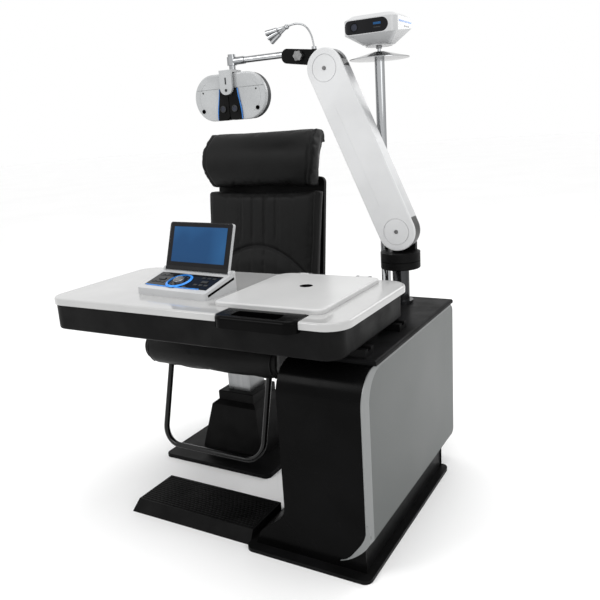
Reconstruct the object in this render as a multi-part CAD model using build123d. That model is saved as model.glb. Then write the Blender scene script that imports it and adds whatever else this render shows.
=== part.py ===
from build123d import *
import math
import os

# Ophthalmic refraction unit, in millimetres. +Z is up, +X is to the right, the examiner stands at -Y.
# The origin is the middle of the underside of the cabinet's floor plate.

# Fits and gaps shared by the whole unit
overrun = 1.0
running_gap = 0.05
seat_gap = 0.3
slide_gap = 0.3
joint_gap = 2.0
open_gap = 1.0

# Floor plate and foot step
plate_width = 418.0
plate_depth = 734.0
plate_thick = 12.0
plate_corner = 26.0
step_width = 487.0
step_front = -340.0
step_depth = 196.0
step_height = 41.0
step_wall = 4.0
step_nose = 24.0
step_end_slant = 16.0
tread_inset = 6.0
rib_count = 15
rib_width = 5.0
rib_height = 2.0

# Cabinet
cabinet_left = -76.0
cabinet_right = 198.0
cabinet_front = -332.0
cabinet_back = 464.0
cabinet_top = 608.0
lid_plate_thick = 14.0
lid_plate_round = 8.4
shell_wall = 4.0
shell_corner = 90.0
panel_thick = 8.0
panel_proud = 5.0
panel_bottom = 100.0
panel_back_corner = 24.0
panel_bevel = 5.0
panel_bevel_front = 40.0
panel_bevel_top = 7.0
panel_bevel_back = 3.0
flare_start = 168.0
flare_reach = 110.0
flare_bend_out_share = 0.74
flare_bend_up_share = 0.36
flare_end_slope_share = 0.25
plinth_inset = 13.0
plinth_back = 355.0
plinth_wall = 6.0
tail_start = 168.0
tail_tip_x = 106.0
tail_tip_z = 35.0
tail_outer_share = ((1.0, 0.51), (0.712, 0.285), (0.37, 0.113))
tail_inner_share = ((0.80, 0.564), (0.55, 0.323), (0.30, 0.12))
tail_end = 1.5
back_sheet = 2.0
vent_count = 7
vent_length = 90.0
vent_height = 5.0
vent_pitch = 14.0
vent_level = 470.0
inlet_width = 50.0
inlet_height = 30.0
inlet_depth = 26.0
inlet_level = 170.0
inlet_socket_wall = 6.0
inlet_socket_depth = 16.0
inlet_pin_radius = 2.0
inlet_pin_spacing = 7.0
inlet_pin_tip = 5.0
supply_size = (150.0, 220.0, 90.0)
supply_front = -40.0
supply_fin_count = 6
supply_fin_thick = 3.0
supply_fin_height = 12.0
frame_tube = 30.0
frame_spread_x = 170.0
frame_front = -230.0
frame_back = 330.0
pole_plate = 8.0
pole_plate_level = 520.0

# Poles
arm_axis_x = 36.0
arm_axis_y = 378.0
arm_pole_radius = 30.0
arm_spigot_radius = 20.0
collar_radius = 42.0
collar_height = 9.0
projector_x = -45.0
projector_y = 438.0
projector_pole_radius = 17.0
projector_collar_radius = 24.0
projector_pole_top = 1462.0
tray_radius = 103.0
tray_rim = 2.0
tray_drop = 1.5
tray_rise = 23.5
tray_hub_radius = 22.0
tray_crown_radius = 20.0

# Turret on the arm pole
turret_radius = 70.0
turret_bottom = 748.0
turret_ring_height = 26.0
turret_split = 2.0
turret_cap_height = 30.0
cheek_front = 411.0
cheek_thick = 20.0
cheek_radius = 44.0
turret_round = 4.0
turret_cap_wall = 7.0

# Arm, from the lower to the upper pivot
low_pivot_x = arm_axis_x
low_pivot_z = 881.0
high_pivot_x = -212.0
high_pivot_z = 1446.0
arm_radius = 68.0
arm_face_y = 343.0
arm_face_thick = 8.0
arm_face_groove = 2.0
arm_face_groove_width = 2.4
groove_radius = 47.0
arm_body_depth = 50.0
arm_wall = 4.0
arm_side_inset = 1.5
arm_web = 3.0
arm_back_thick = 4.0
arm_back_hole = 47.0
pin_radius = 10.0
hub_radius = 14.0
pivot_cap_radius = 7.0
pivot_cap_proud = 1.5
elbow_radius = 61.0
elbow_thick = 36.0
elbow_cut_low = 14.0
elbow_cut_high = 27.0
link_offset = 34.0
link_width = 14.0
link_thick = 5.0
link_eye_radius = 11.0
link_pin_radius = 5.0
strut_radius = 11.0
strut_rod_radius = 5.0
strut_eye_radius = 10.0
strut_eye_bore = 4.0
strut_offset = 26.0
strut_low_share = 0.14
strut_split_share = 0.46
strut_high_share = 0.80

# Forearm, lock knob, rod and hanger
block_tip_x = -386.0
block_root_x = -250.0
block_tip_top = 1529.0
block_tip_bottom = 1479.0
block_root_top = 1512.0
block_root_bottom = 1459.0
block_depth = 44.0
block_tip_round = 22.0
rod_level = 1509.0
rod_radius = 11.5
rod_tip_x = -600.0
rod_inner_x = -312.0
rod_bore_end = -266.0
sleeve_radius = 14.0
sleeve_length = 46.0
eye_radius = 18.0
eye_height = 30.0
hanger_x = -613.0
hanger_radius = 8.0
hanger_cap_radius = 14.0
hanger_cap_height = 9.0
hanger_shoulder_radius = 12.0
knob_x = -314.0
knob_level = 1497.0
knob_radius = 18.0
knob_thick = 14.0
knob_lobes = 6
knob_lobe_radius = 5.5
knob_stem_radius = 5.0

# Phoropter
phoropter_level = 1381.0
phoropter_face_y = 338.0
half_radius = 85.0
half_offset = 76.0
half_gap = 8.0
cover_depth = 16.0
housing_depth = 24.0
cover_round = 6.0
seam_level = 1411.0
seam_width = 2.4
seam_deep = 2.0
lens_well_radius = 8.0
face_half_pitch = 26.0
face_inner = 2.0
face_top_outer = 38.0
face_bottom_outer = 53.0
face_proud = 6.0
eye_level = 1338.0
eye_ring_radius = 13.0
button_radius = 7.0
button_offset = 123.0
button_level = 1335.0
button_proud = 2.0
dot_radius = 3.0
dot_offset = 120.0
dot_level = 1402.0
bracket_width = 54.0
bracket_bottom = 1388.0
bracket_round_share = 0.45
bracket_thick = 10.0
bracket_bridge = 8.0
bracket_boss = 4.0
bracket_web = 5.0
bracket_back_thick = 10.0
guide_radius = 4.0
guide_reach = 60.0
guide_levels = (1424.0, 1450.0)

# Gooseneck lamp
lamp_base_x = -262.0
lamp_base_radius = 9.0
lamp_base_height = 10.0
lamp_stem_radius = 3.0
lamp_points_share = ((0.0, 0.0), (-0.02, 0.3), (-0.09, 0.64), (-0.22, 0.9), (-0.4, 1.0), (-0.7, 0.93))
lamp_reach = 150.0
lamp_rise = 88.0
lamp_head_radius = 8.0
lamp_head_length = 84.0
lamp_head_tilts = (9.0, 20.0, 31.0)
lamp_head_spread = 9.0
lamp_joint_radius = 9.0
lamp_end_dip_share = 0.5
lamp_neck_radius = 5.6
lamp_neck_share = 0.5
lamp_head_start_share = 0.45

# Projector
neck_radius = 10.0
neck_level = 1497.0
neck_stem_radius = 6.0
neck_tilt_gap = 0.9
tilt_level = 1520.0
tilt_post_radius = 8.0
tilt_post_rise = 7.0
tilt_pocket_gap = 3.0
tilt_pin_radius = 3.0
tilt_pin_reach = 28.0
foot_radius = 46.0
foot_bottom = 1505.0
foot_ring_height = 5.0
body_bottom_radius = 50.0
body_width = 190.0
body_depth = 190.0
body_level = 1538.0
body_rise = 22.0
body_shoulder = 1587.0
body_top = 1600.0
body_top_width = 150.0
body_top_depth = 150.0
body_corner = 34.0
top_corner_share = 0.8
window_width = 160.0
window_height = 44.0
window_depth = 14.0
window_level = 1562.0
lens_radius = 12.0
lens_offset = -48.0
window_shift = -8.0
lens_depth = 3.0

# Table
table_left = -932.0
table_right = 163.0
table_front = -372.0
table_back = 141.0
table_top = 758.0
slab_thick = 22.0
slab_corner = 70.0
slab_round = 7.0
apron_bottom = 650.0
apron_inset_left = 8.0
apron_inset_right = 18.0
apron_inset_y = 9.0
apron_corner = 54.0
apron_wall = 5.0
rail_width = 20.0
rail_height = 14.0
rail_left = -330.0
rail_right = 130.0
rail_front = -200.0
rail_back = 60.0
carriage_width = 56.0
carriage_length = 76.0
carriage_wrap = 9.0
carriage_spread = 66.0
carriage_middle = 58.0
handle_left = -234.0
handle_right = 36.0
handle_front = -398.0
handle_back = -302.0
handle_bottom = 726.0
handle_rise = 3.0
handle_corner = 36.0
handle_round = 11.0
handle_back_round = 3.0
recess_left = -178.0
recess_right = -24.0
recess_front = -380.0
recess_back = -332.0
recess_round = 12.0
recess_deep = 27.0
lid_left = -295.0
lid_right = 70.0
lid_front = -298.0
lid_back = 112.0
lid_thick = 14.0
lid_corner = 22.0
lid_back_corner = 56.0
lid_round = 6.0
finger_hole_x = -112.0
finger_hole_y = -52.0
finger_hole_width = 40.0
finger_hole_depth = 36.0
well_margin = 26.0
tray_depth = 62.0
tray_wall = 3.0
tray_rows = 4
hinge_axis_y = 121.0
hinge_axis_z = 765.5
hinge_pin_radius = 2.5
hinge_knuckle_radius = 5.5
hinge_half_length = 26.0
hinge_knuckle_half = 16.0
hinge_places = (-212.0, 7.0)

# Console with its screen
console_x = -647.0
console_y = -237.0
console_turn = -5.0
console_width = 300.0
console_depth = 158.0
console_front_height = 22.0
console_back_height = 62.0
console_corner = 12.0
pad_inset_side = 16.0
pad_front = 22.0
pad_back = 112.0
pad_thick = 2.5
pad_sink = 1.5
dial_radius = 19.0
dial_height = 9.0
dial_round = 2.2
dial_shift = -6.0
dial_post_radius = 5.0
dial_share = 0.46
ring_radius = 46.0
ring_width = 5.0
ring_rise = 1.0
key_size = (26.0, 12.0, 5.0)
key_gap = 0.5
key_travel = 1.2
key_round = 1.0
key_offset = 92.0
screen_width = 276.0
screen_height = 158.0
screen_thick = 12.0
screen_tilt = 18.0
screen_corner = 10.0
screen_axis_v = 134.0
screen_axis_rise = 4.0
display_margin = 4.0
display_thick = 3.0
barrel_radius = 6.0
barrel_half = 138.0
barrel_gap = 1.0
screen_pin_radius = 2.5
ear_thick = 8.0
ear_radius = 7.5

# Chair
chair_x = -613.0
chair_y = 288.0
chair_plate_width = 490.0
chair_plate_depth = 520.0
chair_plate_thick = 14.0
chair_plate_corner = 24.0
chair_plate_round = 3.5
cover_bottom = 280.0
cover_top = 208.0
cover_height = 176.0
cover_shoulder = 16.0
cover_wall = 4.0
cap_size = 166.0
cap_height = 36.0
outer_column = 124.0
column_wall = 5.0
column_head = 10.0
column_size = 104.0
column_top = 398.0
column_bottom = 60.0
swivel_pin_radius = 16.0
swivel_pin_length = 22.0
seat_width = 630.0
seat_front = 23.0
seat_back = 478.0
seat_plate_bottom = 400.0
seat_plate_thick = 26.0
seat_cushion_thick = 92.0
seat_plate_inset = 26.0
seat_nose = 46.0
seat_nose_drop = 24.0
seat_crown = 6.0
seat_front_fall = 3.0
seat_back_fall = 11.5
seat_end_round = 15.0
back_axis_y = 492.0
back_axis_z = 440.0
back_pin_radius = 9.0
back_lean = 8.0
back_width = 566.0
back_side_round = 22.0
back_shell_inset = 25.0
back_length = 560.0
back_start = 66.0
back_shell_thick = 18.0
back_cushion_thick = 84.0
back_cushion_start = 82.0
back_hinge_x = 170.0
back_ear_thick = 14.0
back_ear_radius = 24.0
head_width = 546.0
head_height = 238.0
head_thick = 104.0
head_start = 578.0
head_rail_width = 40.0
head_rail_thick = 5.0
head_rail_length = 120.0
head_rail_x = 120.0
head_rail_set = 4.5
channel_count = 5
channel_width = 66.0
channel_deep = 7.0
channel_set = 2.4
ring_axis_y = 112.0
ring_axis_z = 384.0
ring_foot_y = 20.0
ring_foot_z = 70.0
ring_half_width = 230.0
ring_tube_radius = 11.0
ring_bend = 74.0
ring_lug_thick = 8.0
ring_lug_radius = 17.0
ring_pin_radius = 6.0
ring_eye_radius = 14.0
ring_eye_length = 24.0


def block(x, y, z):
    """Solid box between low and high values on each axis."""
    size = (x[1] - x[0], y[1] - y[0], z[1] - z[0])
    middle = ((x[0] + x[1]) / 2, (y[0] + y[1]) / 2, (z[0] + z[1]) / 2)
    return Pos(*middle) * Box(*size)


def rounded_block(x, y, z, corner):
    """Box with its four upright edges rounded."""
    outline = RectangleRounded(x[1] - x[0], y[1] - y[0], corner)
    return Pos((x[0] + x[1]) / 2, (y[0] + y[1]) / 2, z[0]) * extrude(outline, amount=z[1] - z[0])


def rod(start, direction, radius, length):
    """Round bar that begins at a point and runs along a direction."""
    return Plane(origin=start, z_dir=direction) * Cylinder(
        radius, length, align=(Align.CENTER, Align.CENTER, Align.MIN)
    )


def upright(x, y, z, radius):
    return rod((x, y, z[0]), (0, 0, 1), radius, z[1] - z[0])


def across(x, z, y, radius):
    """Round bar along Y."""
    return rod((x, y[0], z), (0, 1, 0), radius, y[1] - y[0])


def lengthwise(y, z, x, radius):
    """Round bar along X."""
    return rod((x[0], y, z), (1, 0, 0), radius, x[1] - x[0])


def side_prism(edges, x):
    """Solid with an outline in Y and Z, between two X values."""
    plane = Plane(origin=(x[0], 0, 0), x_dir=(0, 1, 0), z_dir=(1, 0, 0))
    return extrude(plane * make_face(edges), amount=x[1] - x[0])


def front_prism(edges, y):
    """Solid with an outline in X and Z, between two Y values."""
    plane = Plane(origin=(0, y[1], 0), x_dir=(1, 0, 0), z_dir=(0, -1, 0))
    return extrude(plane * make_face(edges), amount=y[1] - y[0])


def polygon(*points):
    return Polyline(*points, close=True)


def capsule(low, high, radius, y):
    """Bar with round ends in X and Z, between two Y values."""
    run = (high[0] - low[0], high[1] - low[1])
    length = math.hypot(*run)
    turn = math.degrees(math.atan2(run[1], run[0]))
    shape = Pos((low[0] + high[0]) / 2, (low[1] + high[1]) / 2) * Rot(0, 0, turn) * SlotCenterToCenter(
        length, 2 * radius
    )
    plane = Plane(origin=(0, y[1], 0), x_dir=(1, 0, 0), z_dir=(0, -1, 0))
    return extrude(plane * shape, amount=y[1] - y[0])


def flat_ring(x, y, z, outer, inner):
    ring = upright(x, y, z, outer)
    return ring - upright(x, y, (z[0] - overrun, z[1] + overrun), inner)


def save(name, shape):
    solids = shape.solids() if hasattr(shape, "solids") else shape
    whole = Compound(children=[s for s in solids]) if len(solids) > 1 else solids[0]
    whole.label = name
    export_step(whole, f"parts/{name}.step")


def group(*shapes):
    """Separate solids that share one node."""
    solids = []
    for shape in shapes:
        solids.extend(shape.solids())
    return Compound(children=solids)


# Places that several pieces share
plate_half = plate_width / 2
panel_inner = cabinet_right - panel_thick
cabinet_lid_top = cabinet_top + lid_plate_thick
turret_ring_top = turret_bottom + turret_ring_height
turret_cap_bottom = turret_ring_top + turret_split
turret_cap_top = turret_cap_bottom + turret_cap_height
arm_face_back = arm_face_y + arm_face_thick
arm_body_back = arm_face_back + arm_body_depth
arm_back_y = arm_body_back + arm_back_thick
arm_run = (high_pivot_x - low_pivot_x, high_pivot_z - low_pivot_z)
arm_length = math.hypot(*arm_run)
arm_dir = (arm_run[0] / arm_length, arm_run[1] / arm_length)
elbow_front = arm_face_back + arm_web + joint_gap
elbow_back = elbow_front + elbow_thick
slab_bottom = table_top - slab_thick
step_left = -plate_half - step_width


def floor_plate():
    """Thick plate on the floor that the cabinet stands on."""
    half_depth = plate_depth / 2
    return rounded_block(
        (-plate_half, plate_half), (-half_depth, half_depth), (0, plate_thick), plate_corner
    )


def foot_step():
    """Low moulded platform with a sloping nose, a slanted end and a ribbed top, open underneath."""
    back = step_front + step_depth
    right = -plate_half
    nose = step_front + step_nose
    outer = side_prism(
        polygon((step_front, 0), (nose, step_height), (back, step_height), (back, 0)), (step_left, right)
    )
    slant = front_prism(
        polygon(
            (step_left, 0), (step_left + step_end_slant, step_height), (right, step_height), (right, 0)
        ),
        (step_front - overrun, back + overrun),
    )
    inner = side_prism(
        polygon(
            (step_front + 2 * step_wall, -overrun),
            (nose + step_wall, step_height - step_wall),
            (back - step_wall, step_height - step_wall),
            (back - step_wall, -overrun),
        ),
        (step_left + step_end_slant + step_wall, right - step_wall),
    )
    step = (outer & slant) - inner
    pitch = (back - nose - 2 * tread_inset) / rib_count
    for number in range(rib_count):
        start = nose + tread_inset + pitch * number + (pitch - rib_width) / 2
        step += block(
            (step_left + step_end_slant + tread_inset, right - tread_inset),
            (start, start + rib_width),
            (step_height - overrun, step_height + rib_height),
        )
    return step


def foot_outline():
    """Front view of the cabinet: upright sides, and a left side that sweeps out to the floor plate."""
    left_edge = Spline(
        (cabinet_left, flare_start),
        (
            cabinet_left - flare_reach * flare_bend_out_share,
            plate_thick + (flare_start - plate_thick) * flare_bend_up_share,
        ),
        (cabinet_left - flare_reach, plate_thick),
        tangents=((0, -1), (-flare_end_slope_share, -1)),
    )
    plinth_right = cabinet_right - plinth_inset
    rest = Polyline(
        (cabinet_left - flare_reach, plate_thick),
        (plinth_right, plate_thick),
        (plinth_right, panel_bottom),
        (panel_inner, panel_bottom),
        (panel_inner, cabinet_top),
        (cabinet_left, cabinet_top),
        (cabinet_left, flare_start),
    )
    return left_edge + rest


def side_outline(front, back, bottom, top, front_corner, back_corner):
    """Side view with a large round at the top front and small rounds at the back."""
    turn = 1 - math.sqrt(0.5)
    return (
        Line((front, bottom), (front, top - front_corner))
        + ThreePointArc(
            (front, top - front_corner),
            (front + front_corner * turn, top - front_corner * turn),
            (front + front_corner, top),
        )
        + Line((front + front_corner, top), (back - back_corner, top))
        + ThreePointArc(
            (back - back_corner, top),
            (back - back_corner * turn, top - back_corner * turn),
            (back, top - back_corner),
        )
        + Line((back, top - back_corner), (back, bottom + back_corner))
        + ThreePointArc(
            (back, bottom + back_corner),
            (back - back_corner * turn, bottom + back_corner * turn),
            (back - back_corner, bottom),
        )
        + Line((back - back_corner, bottom), (front, bottom))
    )


def pole_holes(z):
    """Clearance bars for both poles."""
    holes = upright(arm_axis_x, arm_axis_y, z, arm_pole_radius + running_gap)
    return holes + upright(projector_x, projector_y, z, projector_pole_radius + running_gap)


def cabinet_shell():
    """Glossy skin: front, top, left side and sweeping foot, open at the back."""
    body = front_prism(foot_outline(), (cabinet_front, cabinet_back))
    left = cabinet_left - flare_reach - overrun
    body &= side_prism(
        side_outline(cabinet_front, cabinet_back, plate_thick, cabinet_top, shell_corner, shell_wall), (
            left, cabinet_right
        )
    )
    body -= block(
        (left, cabinet_right),
        (plinth_back, cabinet_back + overrun),
        (plate_thick - overrun, panel_bottom),
    )
    room = side_prism(
        side_outline(
            cabinet_front + shell_wall,
            cabinet_back + shell_corner,
            panel_bottom + shell_wall,
            cabinet_top - shell_wall,
            shell_corner - shell_wall,
            shell_wall,
        ),
        (cabinet_left + shell_wall, panel_inner - shell_wall),
    )
    room += block(
        (cabinet_left + shell_wall, panel_inner - shell_wall),
        (cabinet_front + shell_wall, plinth_back - shell_wall),
        (plate_thick - overrun, panel_bottom + 2 * shell_wall),
    )
    room += block(
        (cabinet_left + shell_wall, cabinet_right - plinth_inset - shell_wall),
        (cabinet_front + shell_wall, plinth_back - shell_wall),
        (plate_thick - overrun, panel_bottom - shell_wall),
    )
    return body - room - pole_holes((cabinet_top - 2 * shell_wall, cabinet_top + overrun))


def tail_outline():
    """Crescent that leaves the panel's front edge and sweeps to a point across the foot."""
    right = cabinet_right - panel_bevel / 2
    left = cabinet_right - panel_thick + tail_end
    wide = right - tail_tip_x
    tall = tail_start - tail_tip_z
    outer = [(tail_tip_x + wide * x, tail_tip_z + tall * z) for x, z in tail_outer_share]
    inner = [(tail_tip_x + wide * x, tail_tip_z + tall * z) for x, z in tail_inner_share]
    tip = (tail_tip_x, tail_tip_z)
    tip_top = (tail_tip_x, tail_tip_z + tail_end)
    return (
        Line((left, tail_start), (right, tail_start))
        + Spline((right, tail_start), *outer, tip)
        + Line(tip, tip_top)
        + Spline(tip_top, *inner[::-1], (left, tail_start))
    )


def side_panel():
    """Silver panel on the right, with a wide bevel along its front and the crescent at its foot."""
    front = cabinet_front - panel_proud
    outline = side_outline(
        front, cabinet_back, panel_bottom, cabinet_top, shell_corner + panel_proud, panel_back_corner
    )
    inset = side_outline(
        front + panel_bevel_front,
        cabinet_back - panel_bevel_back,
        panel_bottom + panel_bevel_back,
        cabinet_top - panel_bevel_top,
        shell_corner + panel_proud - panel_bevel_top,
        panel_back_corner - panel_bevel_back,
    )
    panel = side_prism(outline, (panel_inner, cabinet_right - panel_bevel))
    low = Plane(origin=(cabinet_right - panel_bevel, 0, 0), x_dir=(0, 1, 0), z_dir=(1, 0, 0))
    high = Plane(origin=(cabinet_right, 0, 0), x_dir=(0, 1, 0), z_dir=(1, 0, 0))
    panel += loft([low * make_face(outline), high * make_face(inset)], ruled=True)
    return panel + front_prism(tail_outline(), (front, cabinet_front))


def cabinet_cover():
    """Black top plate with holes for the two poles and a lip over the side panel."""
    x = (cabinet_left, cabinet_right + 2 * seat_gap)
    y = (cabinet_front + shell_corner, cabinet_back)
    plate = block(x, y, (cabinet_top, cabinet_lid_top))
    plate = fillet(plate.edges().group_by(Axis.Z)[-1], lid_plate_round)
    return plate - pole_holes((cabinet_top - overrun, cabinet_lid_top + overrun))


def rear_cover():
    """Sheet that closes the back, with vent slots and the hole for the power inlet."""
    x = (cabinet_left + shell_wall + seat_gap, panel_inner - shell_wall - seat_gap)
    y = (cabinet_back - back_sheet, cabinet_back)
    z = (panel_bottom + shell_wall + seat_gap, cabinet_top - shell_wall - seat_gap)
    sheet = block(x, y, z)
    middle = (x[0] + x[1]) / 2
    for number in range(vent_count):
        low = vent_level - number * vent_pitch
        sheet -= block(
            (middle - vent_length / 2, middle + vent_length / 2), (y[0] - overrun, y[1] + overrun), (
                low, low + vent_height
            )
        )
    sheet -= block(
        (middle - inlet_width / 2 - running_gap, middle + inlet_width / 2 + running_gap),
        (y[0] - overrun, y[1] + overrun),
        (inlet_level - running_gap, inlet_level + inlet_height + running_gap),
    )
    return sheet


def power_inlet():
    """Mains inlet socket with three contact pins."""
    middle = (cabinet_left + panel_inner) / 2
    z = (inlet_level, inlet_level + inlet_height)
    x = (middle - inlet_width / 2, middle + inlet_width / 2)
    y = (cabinet_back - inlet_depth, cabinet_back)
    socket = block(x, y, z)
    socket -= block(
        (x[0] + inlet_socket_wall, x[1] - inlet_socket_wall),
        (y[1] - inlet_socket_depth, y[1] + overrun),
        (z[0] + inlet_socket_wall, z[1] - inlet_socket_wall),
    )
    for number in (-1, 0, 1):
        socket += across(
            middle + number * inlet_pin_spacing,
            (z[0] + z[1]) / 2,
            (y[1] - inlet_socket_depth - overrun, y[1] - inlet_pin_tip),
            inlet_pin_radius,
        )
    return socket


def frame_floor():
    """Height of the plate that the poles stand on."""
    return panel_bottom + shell_wall + seat_gap + pole_plate


def cabinet_frame():
    """Welded steel frame: floor tray, four upright tubes, cross tubes and two plates for the poles."""
    x = (cabinet_left + shell_wall + seat_gap, cabinet_right - plinth_inset - shell_wall - seat_gap)
    y = (cabinet_front + shell_wall + seat_gap, plinth_back - shell_wall - seat_gap)
    z = (plate_thick, panel_bottom - shell_wall - seat_gap)
    frame = block(x, y, z)
    frame -= block(
        (x[0] + plinth_wall, x[1] - plinth_wall),
        (y[0] + plinth_wall, y[1] - plinth_wall),
        (z[0] + plinth_wall, z[1] + overrun),
    )
    left = (cabinet_left + panel_inner - frame_spread_x) / 2
    right = left + frame_spread_x
    top = cabinet_top - shell_wall - seat_gap
    rail_low = panel_bottom + frame_tube
    for tube_x in (left, right - frame_tube):
        for tube_y in (frame_front, frame_back - frame_tube):
            frame += block(
                (tube_x, tube_x + frame_tube), (tube_y, tube_y + frame_tube), (plate_thick, top)
            )
        frame += block(
            (tube_x, tube_x + frame_tube), (frame_front, frame_back), (rail_low, rail_low + frame_tube)
        )
    for tube_y in (frame_front, frame_back - frame_tube):
        frame += block((left, right), (tube_y, tube_y + frame_tube), (top - frame_tube, top))
    plate_x = (cabinet_left + shell_wall + seat_gap, panel_inner - shell_wall - seat_gap)
    plate_y = (frame_back - frame_tube, cabinet_back - back_sheet - seat_gap)
    for level in (frame_floor() - pole_plate, pole_plate_level):
        frame += block(plate_x, plate_y, (level, level + pole_plate))
    return frame - pole_holes((pole_plate_level - overrun, pole_plate_level + pole_plate + overrun))


def power_supply():
    """Transformer and control box on the inner frame, with cooling fins."""
    left = (cabinet_left + panel_inner - supply_size[0]) / 2
    low = panel_bottom + 2 * frame_tube
    box = block(
        (left, left + supply_size[0]),
        (supply_front, supply_front + supply_size[1]),
        (low, low + supply_size[2]),
    )
    pitch = supply_size[0] / supply_fin_count
    for number in range(supply_fin_count):
        start = left + pitch * number + (pitch - supply_fin_thick) / 2
        box += block(
            (start, start + supply_fin_thick),
            (supply_front, supply_front + supply_size[1]),
            (low + supply_size[2] - overrun, low + supply_size[2] + supply_fin_height),
        )
    return box


def arm_pole():
    """Steel pole from the frame to the turret, with a collar on the cabinet top."""
    pole = upright(arm_axis_x, arm_axis_y, (frame_floor(), turret_ring_top), arm_pole_radius)
    pole += upright(
        arm_axis_x,
        arm_axis_y,
        (turret_ring_top - overrun, turret_cap_top - turret_cap_wall),
        arm_spigot_radius,
    )
    collar = flat_ring(
        arm_axis_x,
        arm_axis_y,
        (cabinet_lid_top, cabinet_lid_top + collar_height),
        collar_radius,
        arm_pole_radius,
    )
    return pole + collar


def projector_pole():
    """Chrome pole behind the arm, with a flange on the cabinet top."""
    pole = upright(projector_x, projector_y, (frame_floor(), projector_pole_top), projector_pole_radius)
    flange = flat_ring(
        projector_x,
        projector_y,
        (cabinet_lid_top, cabinet_lid_top + collar_height),
        projector_collar_radius,
        projector_pole_radius,
    )
    return pole + flange


def projector_tray():
    """Saucer on top of the chrome pole, with the stud that carries the projector."""
    rim = projector_pole_top + tray_drop
    profile = Polyline(
        (0, projector_pole_top),
        (tray_hub_radius, projector_pole_top),
        (tray_radius, rim),
        (tray_radius, rim + tray_rim),
        (tray_crown_radius, rim + tray_rise),
        (neck_stem_radius, rim + tray_rise),
        (neck_stem_radius, neck_level),
        (0, neck_level),
        close=True,
    )
    plane = Plane(origin=(projector_x, projector_y, 0), x_dir=(1, 0, 0), z_dir=(0, -1, 0))
    return revolve(plane * make_face(profile), Axis((projector_x, projector_y, 0), (0, 0, 1)), 360)


def clamp_ring():
    """Fixed lower half of the arm's bearing, clamped on the pole."""
    ring = flat_ring(
        arm_axis_x, arm_axis_y, (turret_bottom, turret_ring_top), turret_radius, arm_pole_radius
    )
    return fillet(ring.edges().filter_by(GeomType.CIRCLE).sort_by(Axis.Z)[0:1], turret_round)


def turret():
    """Turning upper half of the bearing, with the cheek that holds the arm."""
    cap = upright(arm_axis_x, arm_axis_y, (turret_cap_bottom, turret_cap_top), turret_radius)
    cheek = across(arm_axis_x, low_pivot_z, (cheek_front, cheek_front + cheek_thick), cheek_radius)
    cheek += block(
        (arm_axis_x - cheek_radius, arm_axis_x + cheek_radius),
        (cheek_front, cheek_front + cheek_thick),
        (turret_cap_top - overrun, low_pivot_z),
    )
    body = cap + cheek
    body -= upright(
        arm_axis_x,
        arm_axis_y,
        (turret_cap_bottom - overrun, turret_cap_top - turret_cap_wall + seat_gap),
        arm_spigot_radius + running_gap,
    )
    body -= across(
        arm_axis_x,
        low_pivot_z,
        (cheek_front - overrun, cheek_front + cheek_thick + overrun),
        pin_radius + running_gap,
    )
    stub = across(
        arm_axis_x - link_offset, low_pivot_z, (link_front(), cheek_front + overrun), link_pin_radius
    )
    return body + stub


def link_front():
    return elbow_back + joint_gap


def arm_face():
    """White cover on the examiner's side, with round grooves about both pivots."""
    low = (low_pivot_x, low_pivot_z)
    high = (high_pivot_x, high_pivot_z)
    face = capsule(low, high, arm_radius, (arm_face_y, arm_face_back))
    front_edges = face.faces().sort_by(Axis.Y)[0].edges()
    face = fillet(front_edges, arm_face_thick / 2)
    for x, z in (low, high):
        ring = across(x, z, (arm_face_y - overrun, arm_face_y + arm_face_groove), groove_radius)
        ring -= across(
            x, z, (arm_face_y - 2 * overrun, arm_face_back), groove_radius - arm_face_groove_width
        )
        face -= ring
        face -= across(
            x, z, (arm_face_y - overrun, arm_face_back + overrun), pivot_cap_radius + running_gap
        )
    return face


def arm_body():
    """Silver casting of the arm: web, curved sides and the hub of the lower pivot."""
    low = (low_pivot_x, low_pivot_z)
    high = (high_pivot_x, high_pivot_z)
    outer_radius = arm_radius - arm_side_inset
    body = capsule(low, high, outer_radius, (arm_face_back, arm_body_back))
    body -= capsule(
        low, high, outer_radius - arm_wall, (arm_face_back + arm_web, arm_body_back + overrun)
    )
    reach = 2 * arm_radius
    window = front_prism(
        polygon(
            (high_pivot_x + reach, high_pivot_z + elbow_cut_high),
            (high_pivot_x, high_pivot_z + elbow_cut_high),
            (high_pivot_x, high_pivot_z),
            (high_pivot_x - reach, high_pivot_z - elbow_cut_low * reach / arm_radius),
            (high_pivot_x - reach, high_pivot_z + reach),
            (high_pivot_x + reach, high_pivot_z + reach),
        ),
        (arm_face_back + arm_web, arm_body_back + overrun),
    )
    body -= window
    body += across(low[0], low[1], (arm_face_back + overrun, link_front() - joint_gap), hub_radius)
    for x, z in (low, high):
        body -= across(x, z, (arm_face_back - overrun, arm_body_back + overrun), pin_radius)
    return body


def arm_back():
    """Rear cover of the arm, open round the lower pivot for the turret's pins."""
    low = (low_pivot_x, low_pivot_z)
    high = (high_pivot_x, high_pivot_z)
    plate = capsule(low, high, arm_radius - arm_side_inset, (arm_body_back, arm_back_y))
    plate -= across(low[0], low[1], (arm_body_back - overrun, arm_back_y + overrun), arm_back_hole)
    plate -= across(high[0], high[1], (arm_body_back - overrun, arm_back_y + overrun), pin_radius)
    return plate


def arm_pins():
    """Lower and upper pivot pins with their round caps on the white cover."""
    pins = None
    for x, z, end in (
        (low_pivot_x, low_pivot_z, cheek_front + cheek_thick + seat_gap),
        (high_pivot_x, high_pivot_z, arm_back_y),
    ):
        pin = across(x, z, (arm_face_back, end), pin_radius)
        pin += across(x, z, (arm_face_y - pivot_cap_proud, arm_face_back), pivot_cap_radius)
        pins = pin if pins is None else group(pins, pin)
    return pins


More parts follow.
